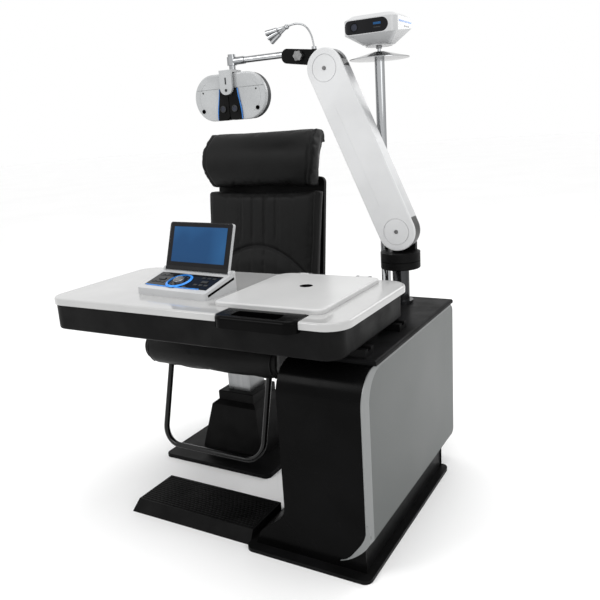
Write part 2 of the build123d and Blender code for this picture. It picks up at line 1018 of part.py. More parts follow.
def levelling_link():
    """Flat link beside the arm that keeps the forearm level."""
    y = (link_front() + seat_gap, link_front() + seat_gap + link_thick)
    low = (low_pivot_x - link_offset, low_pivot_z)
    high = (high_pivot_x - link_offset, high_pivot_z)
    link = capsule(low, high, link_width / 2, y)
    for x, z in (low, high):
        link += across(x, z, y, link_eye_radius)
    link -= across(low[0], low[1], (y[0] - overrun, y[1] + overrun), link_pin_radius + running_gap)
    link -= across(high[0], high[1], (y[0] - overrun, y[1] + overrun), link_pin_radius + open_gap)
    return link


def balance_strut():
    """Gas strut inside the arm that carries its weight: a cylinder, a thin rod and two end eyes."""
    side = (arm_dir[1], -arm_dir[0])

    def at(share):
        return (
            low_pivot_x + arm_run[0] * share + side[0] * strut_offset,
            low_pivot_z + arm_run[1] * share + side[1] * strut_offset,
        )

    y = (arm_face_back + arm_web + seat_gap, arm_face_back + arm_web + seat_gap + 2 * strut_radius)
    middle = (y[0] + y[1]) / 2
    low, split, high = at(strut_low_share), at(strut_split_share), at(strut_high_share)
    run = (split[0] - low[0], split[1] - low[1])
    cylinder = rod(
        (split[0], middle, split[1]),
        (arm_run[0], 0, arm_run[1]),
        strut_radius,
        arm_length * (strut_high_share - strut_split_share),
    )
    thin = rod(
        (low[0], middle, low[1]),
        (arm_run[0], 0, arm_run[1]),
        strut_rod_radius,
        math.hypot(*run) + overrun,
    )
    strut = cylinder + thin
    for x, z in (low, high):
        strut += across(x, z, (middle - strut_eye_radius, middle + strut_eye_radius), strut_eye_radius)
        strut -= across(x, z, (y[0] - overrun, y[1] + overrun), strut_eye_bore + running_gap)
    return strut


def strut_studs():
    """Studs on the arm casting that the strut's eyes sit on."""
    side = (arm_dir[1], -arm_dir[0])
    studs = None
    for share in (strut_low_share, strut_high_share):
        x = low_pivot_x + arm_run[0] * share + side[0] * strut_offset
        z = low_pivot_z + arm_run[1] * share + side[1] * strut_offset
        stud = across(
            x,
            z,
            (arm_face_back + arm_web / 2, arm_face_back + arm_web + 2 * strut_radius),
            strut_eye_bore,
        )
        studs = stud if studs is None else studs + stud
    return studs


def elbow():
    """Black elbow with the forearm block, bored for the rod and the lock screw."""
    y = (elbow_front, elbow_back)
    disc = across(high_pivot_x, high_pivot_z, y, elbow_radius)
    middle = (elbow_front + elbow_back) / 2
    wide = (middle - block_depth / 2, middle + block_depth / 2)
    arm = front_prism(
        polygon(
            (block_tip_x, block_tip_bottom),
            (block_root_x, block_root_bottom),
            (high_pivot_x, block_root_bottom),
            (high_pivot_x, high_pivot_z + elbow_radius),
            (block_root_x, block_root_top),
            (block_tip_x, block_tip_top),
        ),
        y,
    )
    tip = arm.edges().filter_by(Axis.Y).sort_by(Axis.X)[0:2]
    arm = fillet(tip, block_tip_round)
    body = disc + arm
    body -= lengthwise(middle, rod_level, (block_tip_x - overrun, rod_bore_end), rod_radius + running_gap)
    body -= across(high_pivot_x, high_pivot_z, (y[0] - overrun, y[1] + overrun), pin_radius + running_gap)
    body -= across(knob_x, knob_level, (y[0] - overrun, middle), knob_stem_radius + running_gap)
    body -= upright(
        lamp_base_x,
        middle,
        (block_root_top - lamp_base_height, block_tip_top),
        lamp_base_radius / 2 + running_gap,
    )
    body += across(
        high_pivot_x - link_offset,
        high_pivot_z,
        (y[1] - overrun, link_front() + seat_gap + link_thick),
        link_pin_radius,
    )
    return body


def forearm_middle():
    return (elbow_front + elbow_back) / 2


def lock_knob():
    """Star knob that locks the rod."""
    face = elbow_front - seat_gap
    y = (face - knob_thick, face)
    knob = across(knob_x, knob_level, y, knob_radius - knob_lobe_radius / 2)
    for number in range(knob_lobes):
        turn = 2 * math.pi * number / knob_lobes
        knob += across(
            knob_x + (knob_radius - knob_lobe_radius) * math.cos(turn),
            knob_level + (knob_radius - knob_lobe_radius) * math.sin(turn),
            y,
            knob_lobe_radius,
        )
    knob += across(
        knob_x, knob_level, (face - overrun, forearm_middle() - rod_radius - seat_gap), knob_stem_radius
    )
    return knob


def forearm_rod():
    """Chrome rod with a white end sleeve and the eye for the hanger."""
    y = forearm_middle()
    bar = lengthwise(y, rod_level, (rod_tip_x, rod_inner_x), rod_radius)
    sleeve = lengthwise(y, rod_level, (rod_tip_x, rod_tip_x + sleeve_length), sleeve_radius)
    eye = upright(hanger_x, y, (rod_level - eye_height / 2, rod_level + eye_height / 2), eye_radius)
    whole = bar + sleeve + eye
    whole -= upright(
        hanger_x, y, (rod_level - eye_height, rod_level + eye_height), hanger_radius + running_gap
    )
    return whole


def hanger():
    """Chrome swivel pin that the phoropter hangs from, with its cap above the rod."""
    y = forearm_middle()
    top = rod_level + eye_height / 2 + seat_gap
    low = rod_level - eye_height / 2 - seat_gap
    foot = phoropter_level + half_radius + joint_gap + bracket_bridge + bracket_boss
    pin = upright(hanger_x, y, (foot, top + overrun), hanger_radius)
    pin += upright(hanger_x, y, (top, top + hanger_cap_height), hanger_cap_radius)
    pin += upright(hanger_x, y, (foot, low), hanger_shoulder_radius)
    return pin


def phoropter_middle():
    return phoropter_face_y + cover_depth


def half_outline(side, inset=0.0):
    """Front view of one half: round outside, straight towards the nose."""
    centre = hanger_x + side * half_offset
    inner = hanger_x + side * half_gap
    radius = half_radius - inset
    arc_out = ThreePointArc(
        (centre, phoropter_level + radius),
        (centre + side * radius, phoropter_level),
        (centre, phoropter_level - radius),
    )
    rest = Polyline(
        (centre, phoropter_level - radius),
        (inner + side * inset, phoropter_level - radius),
        (inner + side * inset, phoropter_level + radius),
        (centre, phoropter_level + radius),
    )
    return arc_out + rest


def face_outline(side, grow=0.0):
    """Black eyepiece strip beside the nose, wider at the bottom."""
    inner = hanger_x + side * (face_inner - grow)
    top = hanger_x + side * (face_top_outer + grow)
    low = hanger_x + side * (face_bottom_outer + grow)
    bottom = phoropter_level - half_radius + seat_gap
    return polygon((inner, bottom), (low, bottom), (top, seam_level), (inner, seam_level))


def phoropter_cover(side):
    """White front cover of one half, with the seam and the strip for the eyepiece cut out."""
    y = (phoropter_face_y, phoropter_middle())
    cover = front_prism(half_outline(side), y)
    front_edges = cover.faces().sort_by(Axis.Y)[0].edges()
    cover = fillet(front_edges, cover_round)
    cover -= front_prism(face_outline(side, seat_gap), (y[0] - overrun, y[1] + overrun))
    reach = 2 * half_radius + half_gap
    seam_x = sorted((hanger_x, hanger_x + side * reach))
    cover -= block(seam_x, (y[0] - overrun, y[0] + seam_deep), (seam_level, seam_level + seam_width))
    return cover


def phoropter_housing(side):
    """Dark rear housing of one half, bored for the guide rods and the sight tube."""
    y = (phoropter_middle(), phoropter_middle() + housing_depth)
    housing = front_prism(half_outline(side, arm_side_inset), y)
    for level in guide_levels:
        x = sorted((hanger_x, hanger_x + side * (guide_reach + button_radius)))
        housing -= lengthwise(guide_y(), level, x, guide_radius + running_gap)
    eye_x = hanger_x + side * face_half_pitch
    housing -= across(eye_x, eye_level, (y[0] - overrun, y[1] + overrun), lens_well_radius)
    return housing


def guide_y():
    return phoropter_middle() + housing_depth / 2


def phoropter_eyepiece(side):
    """Black eyepiece strip with its sight hole, and the two small round windows on the cover."""
    y = (phoropter_face_y - face_proud, phoropter_middle())
    strip = front_prism(face_outline(side), y)
    lower = strip.edges().filter_by(Axis.Y).group_by(Axis.Z)[0]
    inner_low = lower.sort_by_distance((hanger_x, y[0], phoropter_level - half_radius))[0:1]
    strip = fillet(inner_low, face_top_outer / 2)
    eye_x = hanger_x + side * face_half_pitch
    ring = across(eye_x, eye_level, (y[0] - face_proud / 2, y[0] + overrun), eye_ring_radius)
    strip += ring
    strip -= across(eye_x, eye_level, (y[0] - face_proud, y[1] + overrun), lens_well_radius)
    button = across(
        hanger_x + side * button_offset,
        button_level,
        (phoropter_face_y - button_proud, phoropter_face_y),
        button_radius,
    )
    dot = across(
        hanger_x + side * dot_offset,
        dot_level,
        (phoropter_face_y - button_proud / 2, phoropter_face_y),
        dot_radius,
    )
    return group(strip, button, dot)


def phoropter_bracket():
    """White centre piece that carries both halves on two guide rods."""
    x = (hanger_x - bracket_width / 2, hanger_x + bracket_width / 2)
    low = phoropter_level + half_radius + joint_gap
    top = low + bracket_bridge
    front = phoropter_face_y - face_proud - joint_gap
    back = phoropter_middle() + housing_depth + joint_gap
    plate = front_prism(
        polygon((x[0], bracket_bottom), (x[1], bracket_bottom), (x[1], top), (x[0], top)),
        (front - bracket_thick, front),
    )
    low_edges = plate.edges().filter_by(Axis.Y).group_by(Axis.Z)[0]
    plate = fillet(low_edges, bracket_width * bracket_round_share)
    bridge = block(x, (front - bracket_thick, back + bracket_back_thick), (low, top))
    web_low = seam_level + joint_gap
    web = block(
        (hanger_x - bracket_web / 2, hanger_x + bracket_web / 2),
        (front - overrun, back + overrun),
        (web_low, low + overrun),
    )
    rear = block(x, (back, back + bracket_back_thick), (web_low, low + overrun))
    bracket = plate + bridge + web + rear
    bracket += upright(hanger_x, forearm_middle(), (low, top + bracket_boss), hanger_cap_radius)
    for level in guide_levels:
        bracket += lengthwise(
            guide_y(), level, (hanger_x - guide_reach, hanger_x + guide_reach), guide_radius
        )
    return bracket


def gooseneck_lamp():
    """Chrome gooseneck on the forearm block, with three small spotlights."""
    y = forearm_middle()
    base_z = lamp_seat()
    base = upright(
        lamp_base_x, y, (base_z + seat_gap, base_z + seat_gap + lamp_base_height), lamp_base_radius
    )
    base += upright(
        lamp_base_x,
        y,
        (base_z - lamp_base_height + joint_gap, base_z + lamp_base_height),
        lamp_base_radius / 2,
    )
    start = base_z + lamp_base_height / 2
    points = [
        (lamp_base_x + out * lamp_reach, y, start + up * lamp_rise) for out, up in lamp_points_share
    ]
    path = Spline(points, tangents=((0, 0, 1), (-1, 0, -lamp_end_dip_share)))
    stem = sweep(Plane(origin=points[0], z_dir=(0, 0, 1)) * Circle(lamp_stem_radius), path)
    end = points[-1]
    lamp = base + stem + Pos(*end) * Sphere(lamp_joint_radius)
    for number, tilt in enumerate(lamp_head_tilts):
        turn = math.radians(tilt)
        shift = (number - 1) * lamp_head_spread
        direction = (-math.cos(turn), shift / lamp_head_length, -math.sin(turn))
        lamp += rod(end, direction, lamp_neck_radius, lamp_head_length * lamp_neck_share)
        reach = lamp_head_length * lamp_head_start_share
        head = tuple(place + step * reach for place, step in zip(end, direction))
        lamp += rod(head, direction, lamp_head_radius, lamp_head_length - reach)
    return lamp


def lamp_seat():
    """Height of the forearm block's top where the lamp stands."""
    share = (lamp_base_x - lamp_base_radius - block_tip_x) / (block_root_x - block_tip_x)
    return block_tip_top + (block_root_top - block_tip_top) * share


def projector_neck():
    """Swivel disc on the stud, with a post and the cross pin the projector tilts on."""
    neck = upright(
        projector_x, projector_y, (neck_level + seat_gap, foot_bottom - neck_tilt_gap), neck_radius
    )
    neck += upright(
        projector_x, projector_y, (neck_level + seat_gap, tilt_level + tilt_post_rise), tilt_post_radius
    )
    pin_span = (projector_x - tilt_pin_reach, projector_x + tilt_pin_reach)
    return neck + lengthwise(projector_y, tilt_level, pin_span, tilt_pin_radius)


def projector_section(level, width, depth, corner):
    return Plane(origin=(projector_x, projector_y, level)) * RectangleRounded(width, depth, corner)


def projector_form():
    """Outside of the projector: an underside that flares and rises to the rear, walls, a flat top."""
    foot_level = foot_bottom + foot_ring_height
    low = projector_section(foot_level, 2 * body_bottom_radius, 2 * body_bottom_radius, body_corner)
    lean = math.atan(body_rise / body_depth)
    seam = Plane(
        origin=(projector_x, projector_y, body_level + body_rise / 2),
        x_dir=(1, 0, 0),
        z_dir=(0, -math.sin(lean), math.cos(lean)),
    )
    wide = seam * RectangleRounded(body_width, body_depth / math.cos(lean), body_corner)
    shoulder = projector_section(body_shoulder, body_width, body_depth, body_corner)
    high = projector_section(body_top, body_top_width, body_top_depth, body_corner * top_corner_share)
    form = loft([low, wide], ruled=True)
    form += loft([wide, shoulder], ruled=True)
    return form + loft([shoulder, high], ruled=True)


def window_slot(shrink):
    """Long round-ended block through the projector's front."""
    front = projector_y - body_depth / 2
    half = (window_width - window_height) / 2
    return capsule(
        (projector_x + window_shift - half, window_level),
        (projector_x + window_shift + half, window_level),
        window_height / 2 - shrink,
        (front - overrun, front + window_depth),
    )


def projector_body():
    """White projector body on its foot ring, with the front window's recess and the tilt pin's bore."""
    ring = upright(projector_x, projector_y, (foot_bottom, foot_bottom + foot_ring_height), foot_radius)
    body = projector_form() - window_slot(0.0) + ring
    pocket_top = tilt_level + tilt_post_rise + tilt_pocket_gap
    body -= upright(
        projector_x,
        projector_y,
        (foot_bottom - overrun, pocket_top),
        tilt_post_radius + tilt_pocket_gap,
    )
    bore = (projector_x - body_width / 2, projector_x + tilt_pin_reach + joint_gap)
    return body - lengthwise(projector_y, tilt_level, bore, tilt_pin_radius + running_gap)


def projector_window():
    """Dark front window with a round recess for the lens."""
    glass = projector_form() & window_slot(seat_gap)
    front = projector_y - body_depth / 2
    glass -= across(
        projector_x + lens_offset, window_level, (front - overrun, front + lens_depth), lens_radius
    )
    return glass


def well_box(z):
    """Opening for the lens tray in the slab."""
    x = (lid_left + well_margin, lid_right - well_margin)
    y = (lid_front + well_margin / 2, lid_back - well_margin / 2)
    return x, y, z


def table_slab():
    """Glossy table top with the cut for the handle and the opening over the lens tray."""
    slab = rounded_block(
        (table_left, table_right), (table_front, table_back), (slab_bottom, table_top), slab_corner
    )
    slab = fillet(slab.edges().group_by(Axis.Z)[-1], slab_round)
    slab -= block(
        (handle_left, handle_right),
        (handle_front - overrun, handle_back),
        (slab_bottom - overrun, table_top + overrun),
    )
    slab -= block(*well_box((slab_bottom - overrun, table_top + overrun)))
    return slab


def table_apron():
    """Black tray under the slab: four walls and a floor, with rounded corners."""
    x = (table_left + apron_inset_left, table_right - apron_inset_right)
    y = (table_front + apron_inset_y, table_back - apron_inset_y)
    z = (apron_bottom, slab_bottom)
    body = rounded_block(x, y, z, apron_corner)
    body = fillet(body.edges().group_by(Axis.Z)[0], slab_round)
    body -= rounded_block(
        (x[0] + apron_wall, x[1] - apron_wall),
        (y[0] + apron_wall, y[1] - apron_wall),
        (z[0] + apron_wall, z[1] + overrun),
        apron_corner - apron_wall,
    )
    body -= block(
        (handle_left, handle_right), (handle_front - overrun, handle_back), (
            handle_bottom, z[1] + overrun
        )
    )
    return body


def table_handle():
    """Grip block let into the front edge, with a deep finger recess."""
    x, y = (handle_left, handle_right), (handle_front, handle_back)
    grip = block(x, y, (handle_bottom, table_top + handle_rise))
    uprights = grip.edges().filter_by(Axis.Z).group_by(Axis.Y)
    grip = fillet(uprights[0], handle_corner)
    grip = fillet(grip.edges().filter_by(Axis.Z).group_by(Axis.Y)[-1], handle_back_round)
    grip = fillet(grip.edges().group_by(Axis.Z)[-1], handle_round)
    grip -= rounded_block(
        (recess_left, recess_right),
        (recess_front, recess_back),
        (table_top + handle_rise - recess_deep, table_top + handle_rise + overrun),
        recess_round,
    )
    return grip


def lens_tray():
    """Trial lens tray under the lid, with rows of upright ribs."""
    x, y, z = well_box((table_top - tray_depth, table_top - overrun))
    x = (x[0] + seat_gap, x[1] - seat_gap)
    y = (y[0] + seat_gap, y[1] - seat_gap)
    tray = block(x, y, z)
    pitch = (y[1] - y[0] - tray_wall) / tray_rows
    for row in range(tray_rows):
        start = y[0] + tray_wall + pitch * row
        tray -= block(
            (x[0] + tray_wall, x[1] - tray_wall), (start, start + pitch - tray_wall), (
                z[0] + tray_wall, z[1] + overrun
            )
        )
    return tray


def table_rails():
    """Two guide rails under the table."""
    rails = []
    for y in (rail_front, rail_back):
        rails.append(
            block(
                (rail_left, rail_right),
                (y - rail_width / 2, y + rail_width / 2),
                (apron_bottom - rail_height, apron_bottom),
            )
        )
    return group(*rails)


def rail_carriages():
    """Four grooved bearing blocks on the cabinet top that the rails slide in."""
    blocks = []
    top = apron_bottom - rail_height + carriage_wrap
    for y in (rail_front, rail_back):
        for side in (-1, 1):
            middle = carriage_middle + side * carriage_spread
            piece = block(
                (middle - carriage_length / 2, middle + carriage_length / 2),
                (y - carriage_width / 2, y + carriage_width / 2),
                (cabinet_lid_top, top),
            )
            piece -= block(
                (middle - carriage_length, middle + carriage_length),
                (y - rail_width / 2 - slide_gap, y + rail_width / 2 + slide_gap),
                (apron_bottom - rail_height - slide_gap, top + overrun),
            )
            blocks.append(piece)
    return group(*blocks)


def lens_lid():
    """White lid over the lens tray, with a finger hole and the hinge knuckles."""
    low = table_top + seat_gap
    lid = block((lid_left, lid_right), (lid_front, lid_back), (low, low + lid_thick))
    uprights = lid.edges().filter_by(Axis.Z).sort_by(lambda edge: edge.center().X - edge.center().Y)
    lid = fillet(uprights[1:], lid_corner)
    uprights = lid.edges().filter_by(Axis.Z).sort_by(lambda edge: edge.center().X - edge.center().Y)
    lid = fillet(uprights[:1], lid_back_corner)
    lid = fillet(lid.edges().group_by(Axis.Z)[-1], lid_round)
    hole = Pos(finger_hole_x, finger_hole_y, low - overrun) * extrude(
        SlotOverall(finger_hole_width, finger_hole_depth), amount=lid_thick + 2 * overrun
    )
    lid -= hole
    for place in hinge_places:
        x = (place - hinge_knuckle_half, place + hinge_knuckle_half)
        knuckle = lengthwise(hinge_axis_y, hinge_axis_z, x, hinge_knuckle_radius)
        knuckle += block(
            x,
            (lid_back - overrun, hinge_axis_y),
            (hinge_axis_z - hinge_knuckle_radius / 2, hinge_axis_z + hinge_knuckle_radius / 2),
        )
        knuckle -= lengthwise(
            hinge_axis_y, hinge_axis_z, (x[0] - overrun, x[1] + overrun), hinge_pin_radius + running_gap
        )
        lid += knuckle
    return lid


def lid_hinges():
    """Two hinge feet on the slab with their pins."""
    feet = []
    for place in hinge_places:
        pin = lengthwise(
            hinge_axis_y,
            hinge_axis_z,
            (place - hinge_half_length, place + hinge_half_length),
            hinge_pin_radius,
        )
        for side in (-1, 1):
            inner = place + side * (hinge_knuckle_half + joint_gap / 2)
            outer = place + side * hinge_half_length
            x = (min(inner, outer), max(inner, outer))
            pin += block(
                x,
                (hinge_axis_y - hinge_knuckle_radius, hinge_axis_y + hinge_knuckle_radius),
                (table_top, hinge_axis_z + hinge_knuckle_radius),
            )
        feet.append(pin)
    return group(*feet)


def console_place(shape):
    return Location((console_x, console_y, table_top), (0, 0, console_turn)) * shape


def console_slope(v):
    """Height of the console's top above the table at a depth v."""
    return console_front_height + (console_back_height - console_front_height) * v / console_depth


def console_angle():
    return math.degrees(math.atan2(console_back_height - console_front_height, console_depth))


def on_pad(u, v, shape):
    """Places a shape drawn on a flat top onto the sloping top of the console."""
    return Pos(u, v, console_slope(v)) * Rot(console_angle(), 0, 0) * shape


def console_base():
    """White wedge with a trough for the screen's barrel and ears for its pins."""
    box = rounded_block((0, console_width), (0, console_depth), (0, console_back_height), console_corner)
    wedge = side_prism(
        polygon(
            (0, 0), (console_depth, 0), (console_depth, console_back_height), (0, console_front_height)
        ),
        (0, console_width),
    )
    base = box & wedge
    axis_z = console_slope(screen_axis_v) + screen_axis_rise
    middle = console_width / 2
    base -= lengthwise(
        screen_axis_v,
        axis_z,
        (middle - barrel_half - barrel_gap, middle + barrel_half + barrel_gap),
        barrel_radius + barrel_gap,
    )
    for side in (-1, 1):
        inner = middle + side * (barrel_half + barrel_gap)
        outer = inner + side * ear_thick
        x = (min(inner, outer), max(inner, outer))
        ear = lengthwise(screen_axis_v, axis_z, x, ear_radius)
        ear += block(
            x, (screen_axis_v - ear_radius, screen_axis_v + ear_radius), (console_front_height, axis_z)
        )
        ear -= lengthwise(
            screen_axis_v, axis_z, (x[0] - overrun, x[1] + overrun), screen_pin_radius + running_gap
        )
        base += ear
    base -= pad_pocket()
    bore = Pos(0, 0, -dial_height) * Cylinder(dial_post_radius + running_gap, 2 * dial_height)
    base -= on_pad(console_width * dial_share, dial_v(), bore)
    for side in (-1, 1):
        base -= key_well(side)
    return console_place(base)


def pad_middle():
    return (pad_front + pad_back) / 2


def dial_v():
    return pad_middle() + dial_shift


def pad_pocket():
    """Shallow pocket in the console's slope that the keypad plate sits in."""
    width = console_width - 2 * pad_inset_side + 2 * seat_gap
    length = pad_back - pad_front + 2 * seat_gap
    plate = Box(width, length, pad_thick + 2 * pad_sink)
    return on_pad(console_width / 2, pad_middle(), Pos(0, 0, pad_thick / 2) * plate)


def key_well(side):
    u = console_width / 2 + side * key_offset
    depth = key_size[2] + key_travel + seat_gap
    well = Box(key_size[0] + 2 * key_gap, key_size[1] + 2 * key_gap, 2 * depth)
    return on_pad(u, pad_middle(), well)


def keypad_plate():
    """Black plate on the slope, with the raised ring round the dial and wells for the two keys."""
    length = pad_back - pad_front
    plate = on_pad(
        console_width / 2, pad_middle(), Box(console_width - 2 * pad_inset_side, length, pad_thick)
    )
    ring = Cylinder(ring_radius, ring_rise) - Cylinder(ring_radius - ring_width, 2 * ring_rise)
    plate += on_pad(console_width * dial_share, dial_v(), Pos(0, 0, pad_thick / 2 + ring_rise / 2) * ring)
    plate -= on_pad(
        console_width * dial_share, dial_v(), Cylinder(dial_post_radius + running_gap, 2 * pad_thick)
    )
    for side in (-1, 1):
        plate -= key_well(side)
    return console_place(plate)


def dial_knob():
    """Silver dial on its post."""
    low = pad_thick / 2 + seat_gap
    knob = Pos(0, 0, low + dial_height / 2) * Cylinder(dial_radius, dial_height)
    knob = fillet(knob.edges().group_by(Axis.Z)[-1], dial_round)
    knob += Pos(0, 0, low - dial_height / 2) * Cylinder(dial_post_radius, dial_height + overrun)
    return console_place(on_pad(console_width * dial_share, dial_v(), knob))


def page_key(side):
    """Push key that stands a little above the keypad plate."""
    u = console_width / 2 + side * key_offset
    cap = Pos(0, 0, (key_size[2] - pad_thick) / 2) * Box(*key_size)
    cap = fillet(cap.edges().group_by(Axis.Z)[-1], key_round)
    return console_place(on_pad(u, pad_middle(), cap))


def screen_axis_z():
    return console_slope(screen_axis_v) + screen_axis_rise


def on_screen(shape):
    """Tilts a shape drawn upright over the screen's hinge."""
    turned = Pos(console_width / 2, screen_axis_v, screen_axis_z()) * Rot(-screen_tilt, 0, 0) * shape
    return console_place(turned)


def screen_shell():
    """White shell of the screen, with a round lower edge and an end pin on each side."""
    middle = screen_height / 2
    plate = Pos(0, 0, middle) * Box(screen_width, screen_thick, screen_height)
    plate = fillet(plate.edges().filter_by(Axis.Y).group_by(Axis.Z)[-1], screen_corner)
    pocket_low = barrel_radius + display_margin
    pocket = block(
        (-screen_width / 2 + display_margin, screen_width / 2 - display_margin),
        (-screen_thick / 2 - overrun, -screen_thick / 2 + display_thick),
        (pocket_low, screen_height - display_margin),
    )
    plate -= pocket
    barrel = Rot(0, 90, 0) * Cylinder(barrel_radius, screen_width)
    pin = Rot(0, 90, 0) * Cylinder(screen_pin_radius, 2 * (barrel_half + barrel_gap + ear_thick))
    return on_screen(plate + barrel + pin)


def screen_display():
    """Black glass let into the screen shell."""
    side = screen_width / 2 - display_margin - seat_gap
    glass = block(
        (-side, side),
        (-screen_thick / 2, -screen_thick / 2 + display_thick),
        (barrel_radius + display_margin + seat_gap, screen_height - display_margin - seat_gap),
    )
    return on_screen(glass)


def chair_plate():
    """Steel plate on the floor that carries the lift column."""
    half_x, half_y = chair_plate_width / 2, chair_plate_depth / 2
    plate = rounded_block(
        (chair_x - half_x, chair_x + half_x),
        (chair_y - half_y, chair_y + half_y),
        (0, chair_plate_thick),
        chair_plate_corner,
    )
    return fillet(plate.edges().group_by(Axis.Z)[-1], chair_plate_round)


def square_loft(low, high, z):
    """Solid that changes from one square to another between two heights."""
    return loft(
        [
            Pos(chair_x, chair_y, z[0]) * Rectangle(low, low),
            Pos(chair_x, chair_y, z[1]) * Rectangle(high, high),
        ],
    )


def column_cover():
    """Tapering cover round the lift column, with a sloping shoulder and a square collar on top."""
    low = chair_plate_thick
    top = low + cover_height
    collar_low = top + cover_shoulder
    cover = square_loft(cover_bottom, cover_top, (low, top)) + square_loft(
        cover_top, cap_size, (top, collar_low)
    )
    collar = Pos(chair_x, chair_y, collar_low + cap_height / 2) * Box(cap_size, cap_size, cap_height)
    cover += fillet(collar.edges().group_by(Axis.Z)[-1], cover_wall)
    cover -= square_loft(
        cover_bottom - 2 * cover_wall, cover_top - 2 * cover_wall, (low - overrun, top - cover_wall)
    )
    hole = column_size + 2 * seat_gap
    cover -= Pos(chair_x, chair_y, top + cap_height / 2) * Box(hole, hole, 2 * cap_height)
    return cover


def square_tube(size, wall, z):
    tube = Pos(chair_x, chair_y, (z[0] + z[1]) / 2) * Box(size, size, z[1] - z[0])
    room = size - 2 * wall
    return tube - Pos(chair_x, chair_y, (z[0] + z[1]) / 2) * Box(room, room, z[1] - z[0] + 2 * overrun)


def guide_column():
    """Fixed outer tube of the lift, bolted to the floor plate."""
    return square_tube(
        outer_column,
        column_wall,
        (chair_plate_thick, chair_plate_thick + cover_height - cover_wall - seat_gap),
    )


def inner_column():
    """Polished square column that rises with the seat, with the swivel pin on top."""
    tube = square_tube(column_size, column_wall, (column_bottom, column_top - column_head))
    head = Pos(chair_x, chair_y, column_top - column_head / 2) * Box(
        column_size, column_size, column_head
    )
    pin = upright(
        chair_x, chair_y, (column_top - overrun, column_top + swivel_pin_length), swivel_pin_radius
    )
    return tube + head + pin


def seat_frame():
    """Seat pan on the swivel, with lugs for the back and for the foot ring."""
    half = seat_width / 2 - seat_plate_inset
    x = (chair_x - half, chair_x + half)
    z = (seat_plate_bottom, seat_plate_bottom + seat_plate_thick)
    pan_back = back_axis_y - back_ear_radius - joint_gap
    pan = rounded_block(x, (seat_front + seat_nose, pan_back), z, seat_plate_inset)
    pan -= upright(
        chair_x,
        chair_y,
        (z[0] - overrun, column_top + swivel_pin_length + seat_gap),
        swivel_pin_radius + running_gap,
    )
    for side in (-1, 1):
        lug_x = chair_x + side * back_hinge_x
        ear = block(
            (lug_x - back_ear_thick / 2, lug_x + back_ear_thick / 2),
            (seat_back - seat_nose, back_axis_y),
            (z[0], back_axis_z + back_pin_radius),
        )
        ear += lengthwise(
            back_axis_y,
            back_axis_z,
            (lug_x - back_ear_thick / 2, lug_x + back_ear_thick / 2),
            back_ear_radius - joint_gap,
        )
        pin_x = sorted((lug_x, lug_x + side * (back_ear_thick / 2 + joint_gap + back_ear_thick)))
        ear += lengthwise(back_axis_y, back_axis_z, pin_x, back_pin_radius)
        pan += ear
        lug = chair_x + side * (ring_half_width - ring_eye_length / 2 - ring_lug_thick)
        lug_span = sorted((lug, lug + side * (ring_lug_thick - joint_gap / 2)))
        pan += block(
            lug_span,
            (ring_axis_y - ring_lug_radius, ring_axis_y + ring_lug_radius),
            (ring_axis_z, z[0] + overrun),
        )
        pan += lengthwise(ring_axis_y, ring_axis_z, lug_span, ring_lug_radius)
        pin_span = sorted((lug, chair_x + side * (ring_half_width + ring_eye_length / 2)))
        pan += lengthwise(ring_axis_y, ring_axis_z, pin_span, ring_pin_radius)
    return pan


def seat_cushion():
    """Thick seat cushion with a rolled front edge and a gently crowned top."""
    half = seat_width / 2
    low = seat_plate_bottom + seat_plate_thick + seat_gap
    top = low + seat_cushion_thick
    nose_low = seat_plate_bottom - seat_nose_drop
    front = seat_front
    start = seat_front + seat_nose - seat_gap
    outline = (
        Line((seat_back - seat_nose, low), (start, low))
        + Line((start, low), (start, nose_low))
        + ThreePointArc(
            (start, nose_low),
            (front, (nose_low + top) / 2),
            (start + seat_nose, top - seat_front_fall),
        )
        + ThreePointArc(
            (start + seat_nose, top - seat_front_fall),
            ((start + seat_back) / 2, top + seat_crown),
            (seat_back - seat_nose, top - seat_back_fall),
        )
        + Line((seat_back - seat_nose, top - seat_back_fall), (seat_back - seat_nose, low))
    )
    cushion = side_prism(outline, (chair_x - half, chair_x + half))
    ends = cushion.faces().sort_by(Axis.X)
    edges = ends[0].edges().filter_by(GeomType.CIRCLE) + ends[-1].edges().filter_by(GeomType.CIRCLE)
    return fillet(edges, seat_end_round)


def on_back(shape):
    """Leans a shape drawn upright over the back's hinge."""
    return Pos(chair_x, back_axis_y, back_axis_z) * Rot(-back_lean, 0, 0) * shape


def back_frame():
    """Shell of the back, with the two ears that turn on the seat's pins and the head rails."""
    plate = Pos(0, back_shell_thick / 2 + seat_gap, back_start + back_length / 2) * Box(
        back_width - 2 * back_shell_inset, back_shell_thick, back_length
    )
    plate = fillet(plate.edges().filter_by(Axis.Y), back_ear_radius)
    for side in (-1, 1):
        middle = side * (back_hinge_x + back_ear_thick + joint_gap)
        x = (middle - back_ear_thick / 2, middle + back_ear_thick / 2)
        ear = block(x, (-back_ear_radius / 2, back_shell_thick), (0, back_cushion_start - joint_gap))
        ear += lengthwise(0, 0, x, back_ear_radius)
        ear -= lengthwise(0, 0, (x[0] - overrun, x[1] + overrun), back_pin_radius + running_gap)
        plate += ear
        rail = side * head_rail_x
        plate += block(
            (rail - head_rail_width / 2, rail + head_rail_width / 2),
            (seat_gap + head_rail_set, seat_gap + head_rail_set + head_rail_thick),
            (back_start + back_length - overrun, back_start + back_length + head_rail_length),
        )
    return on_back(plate)


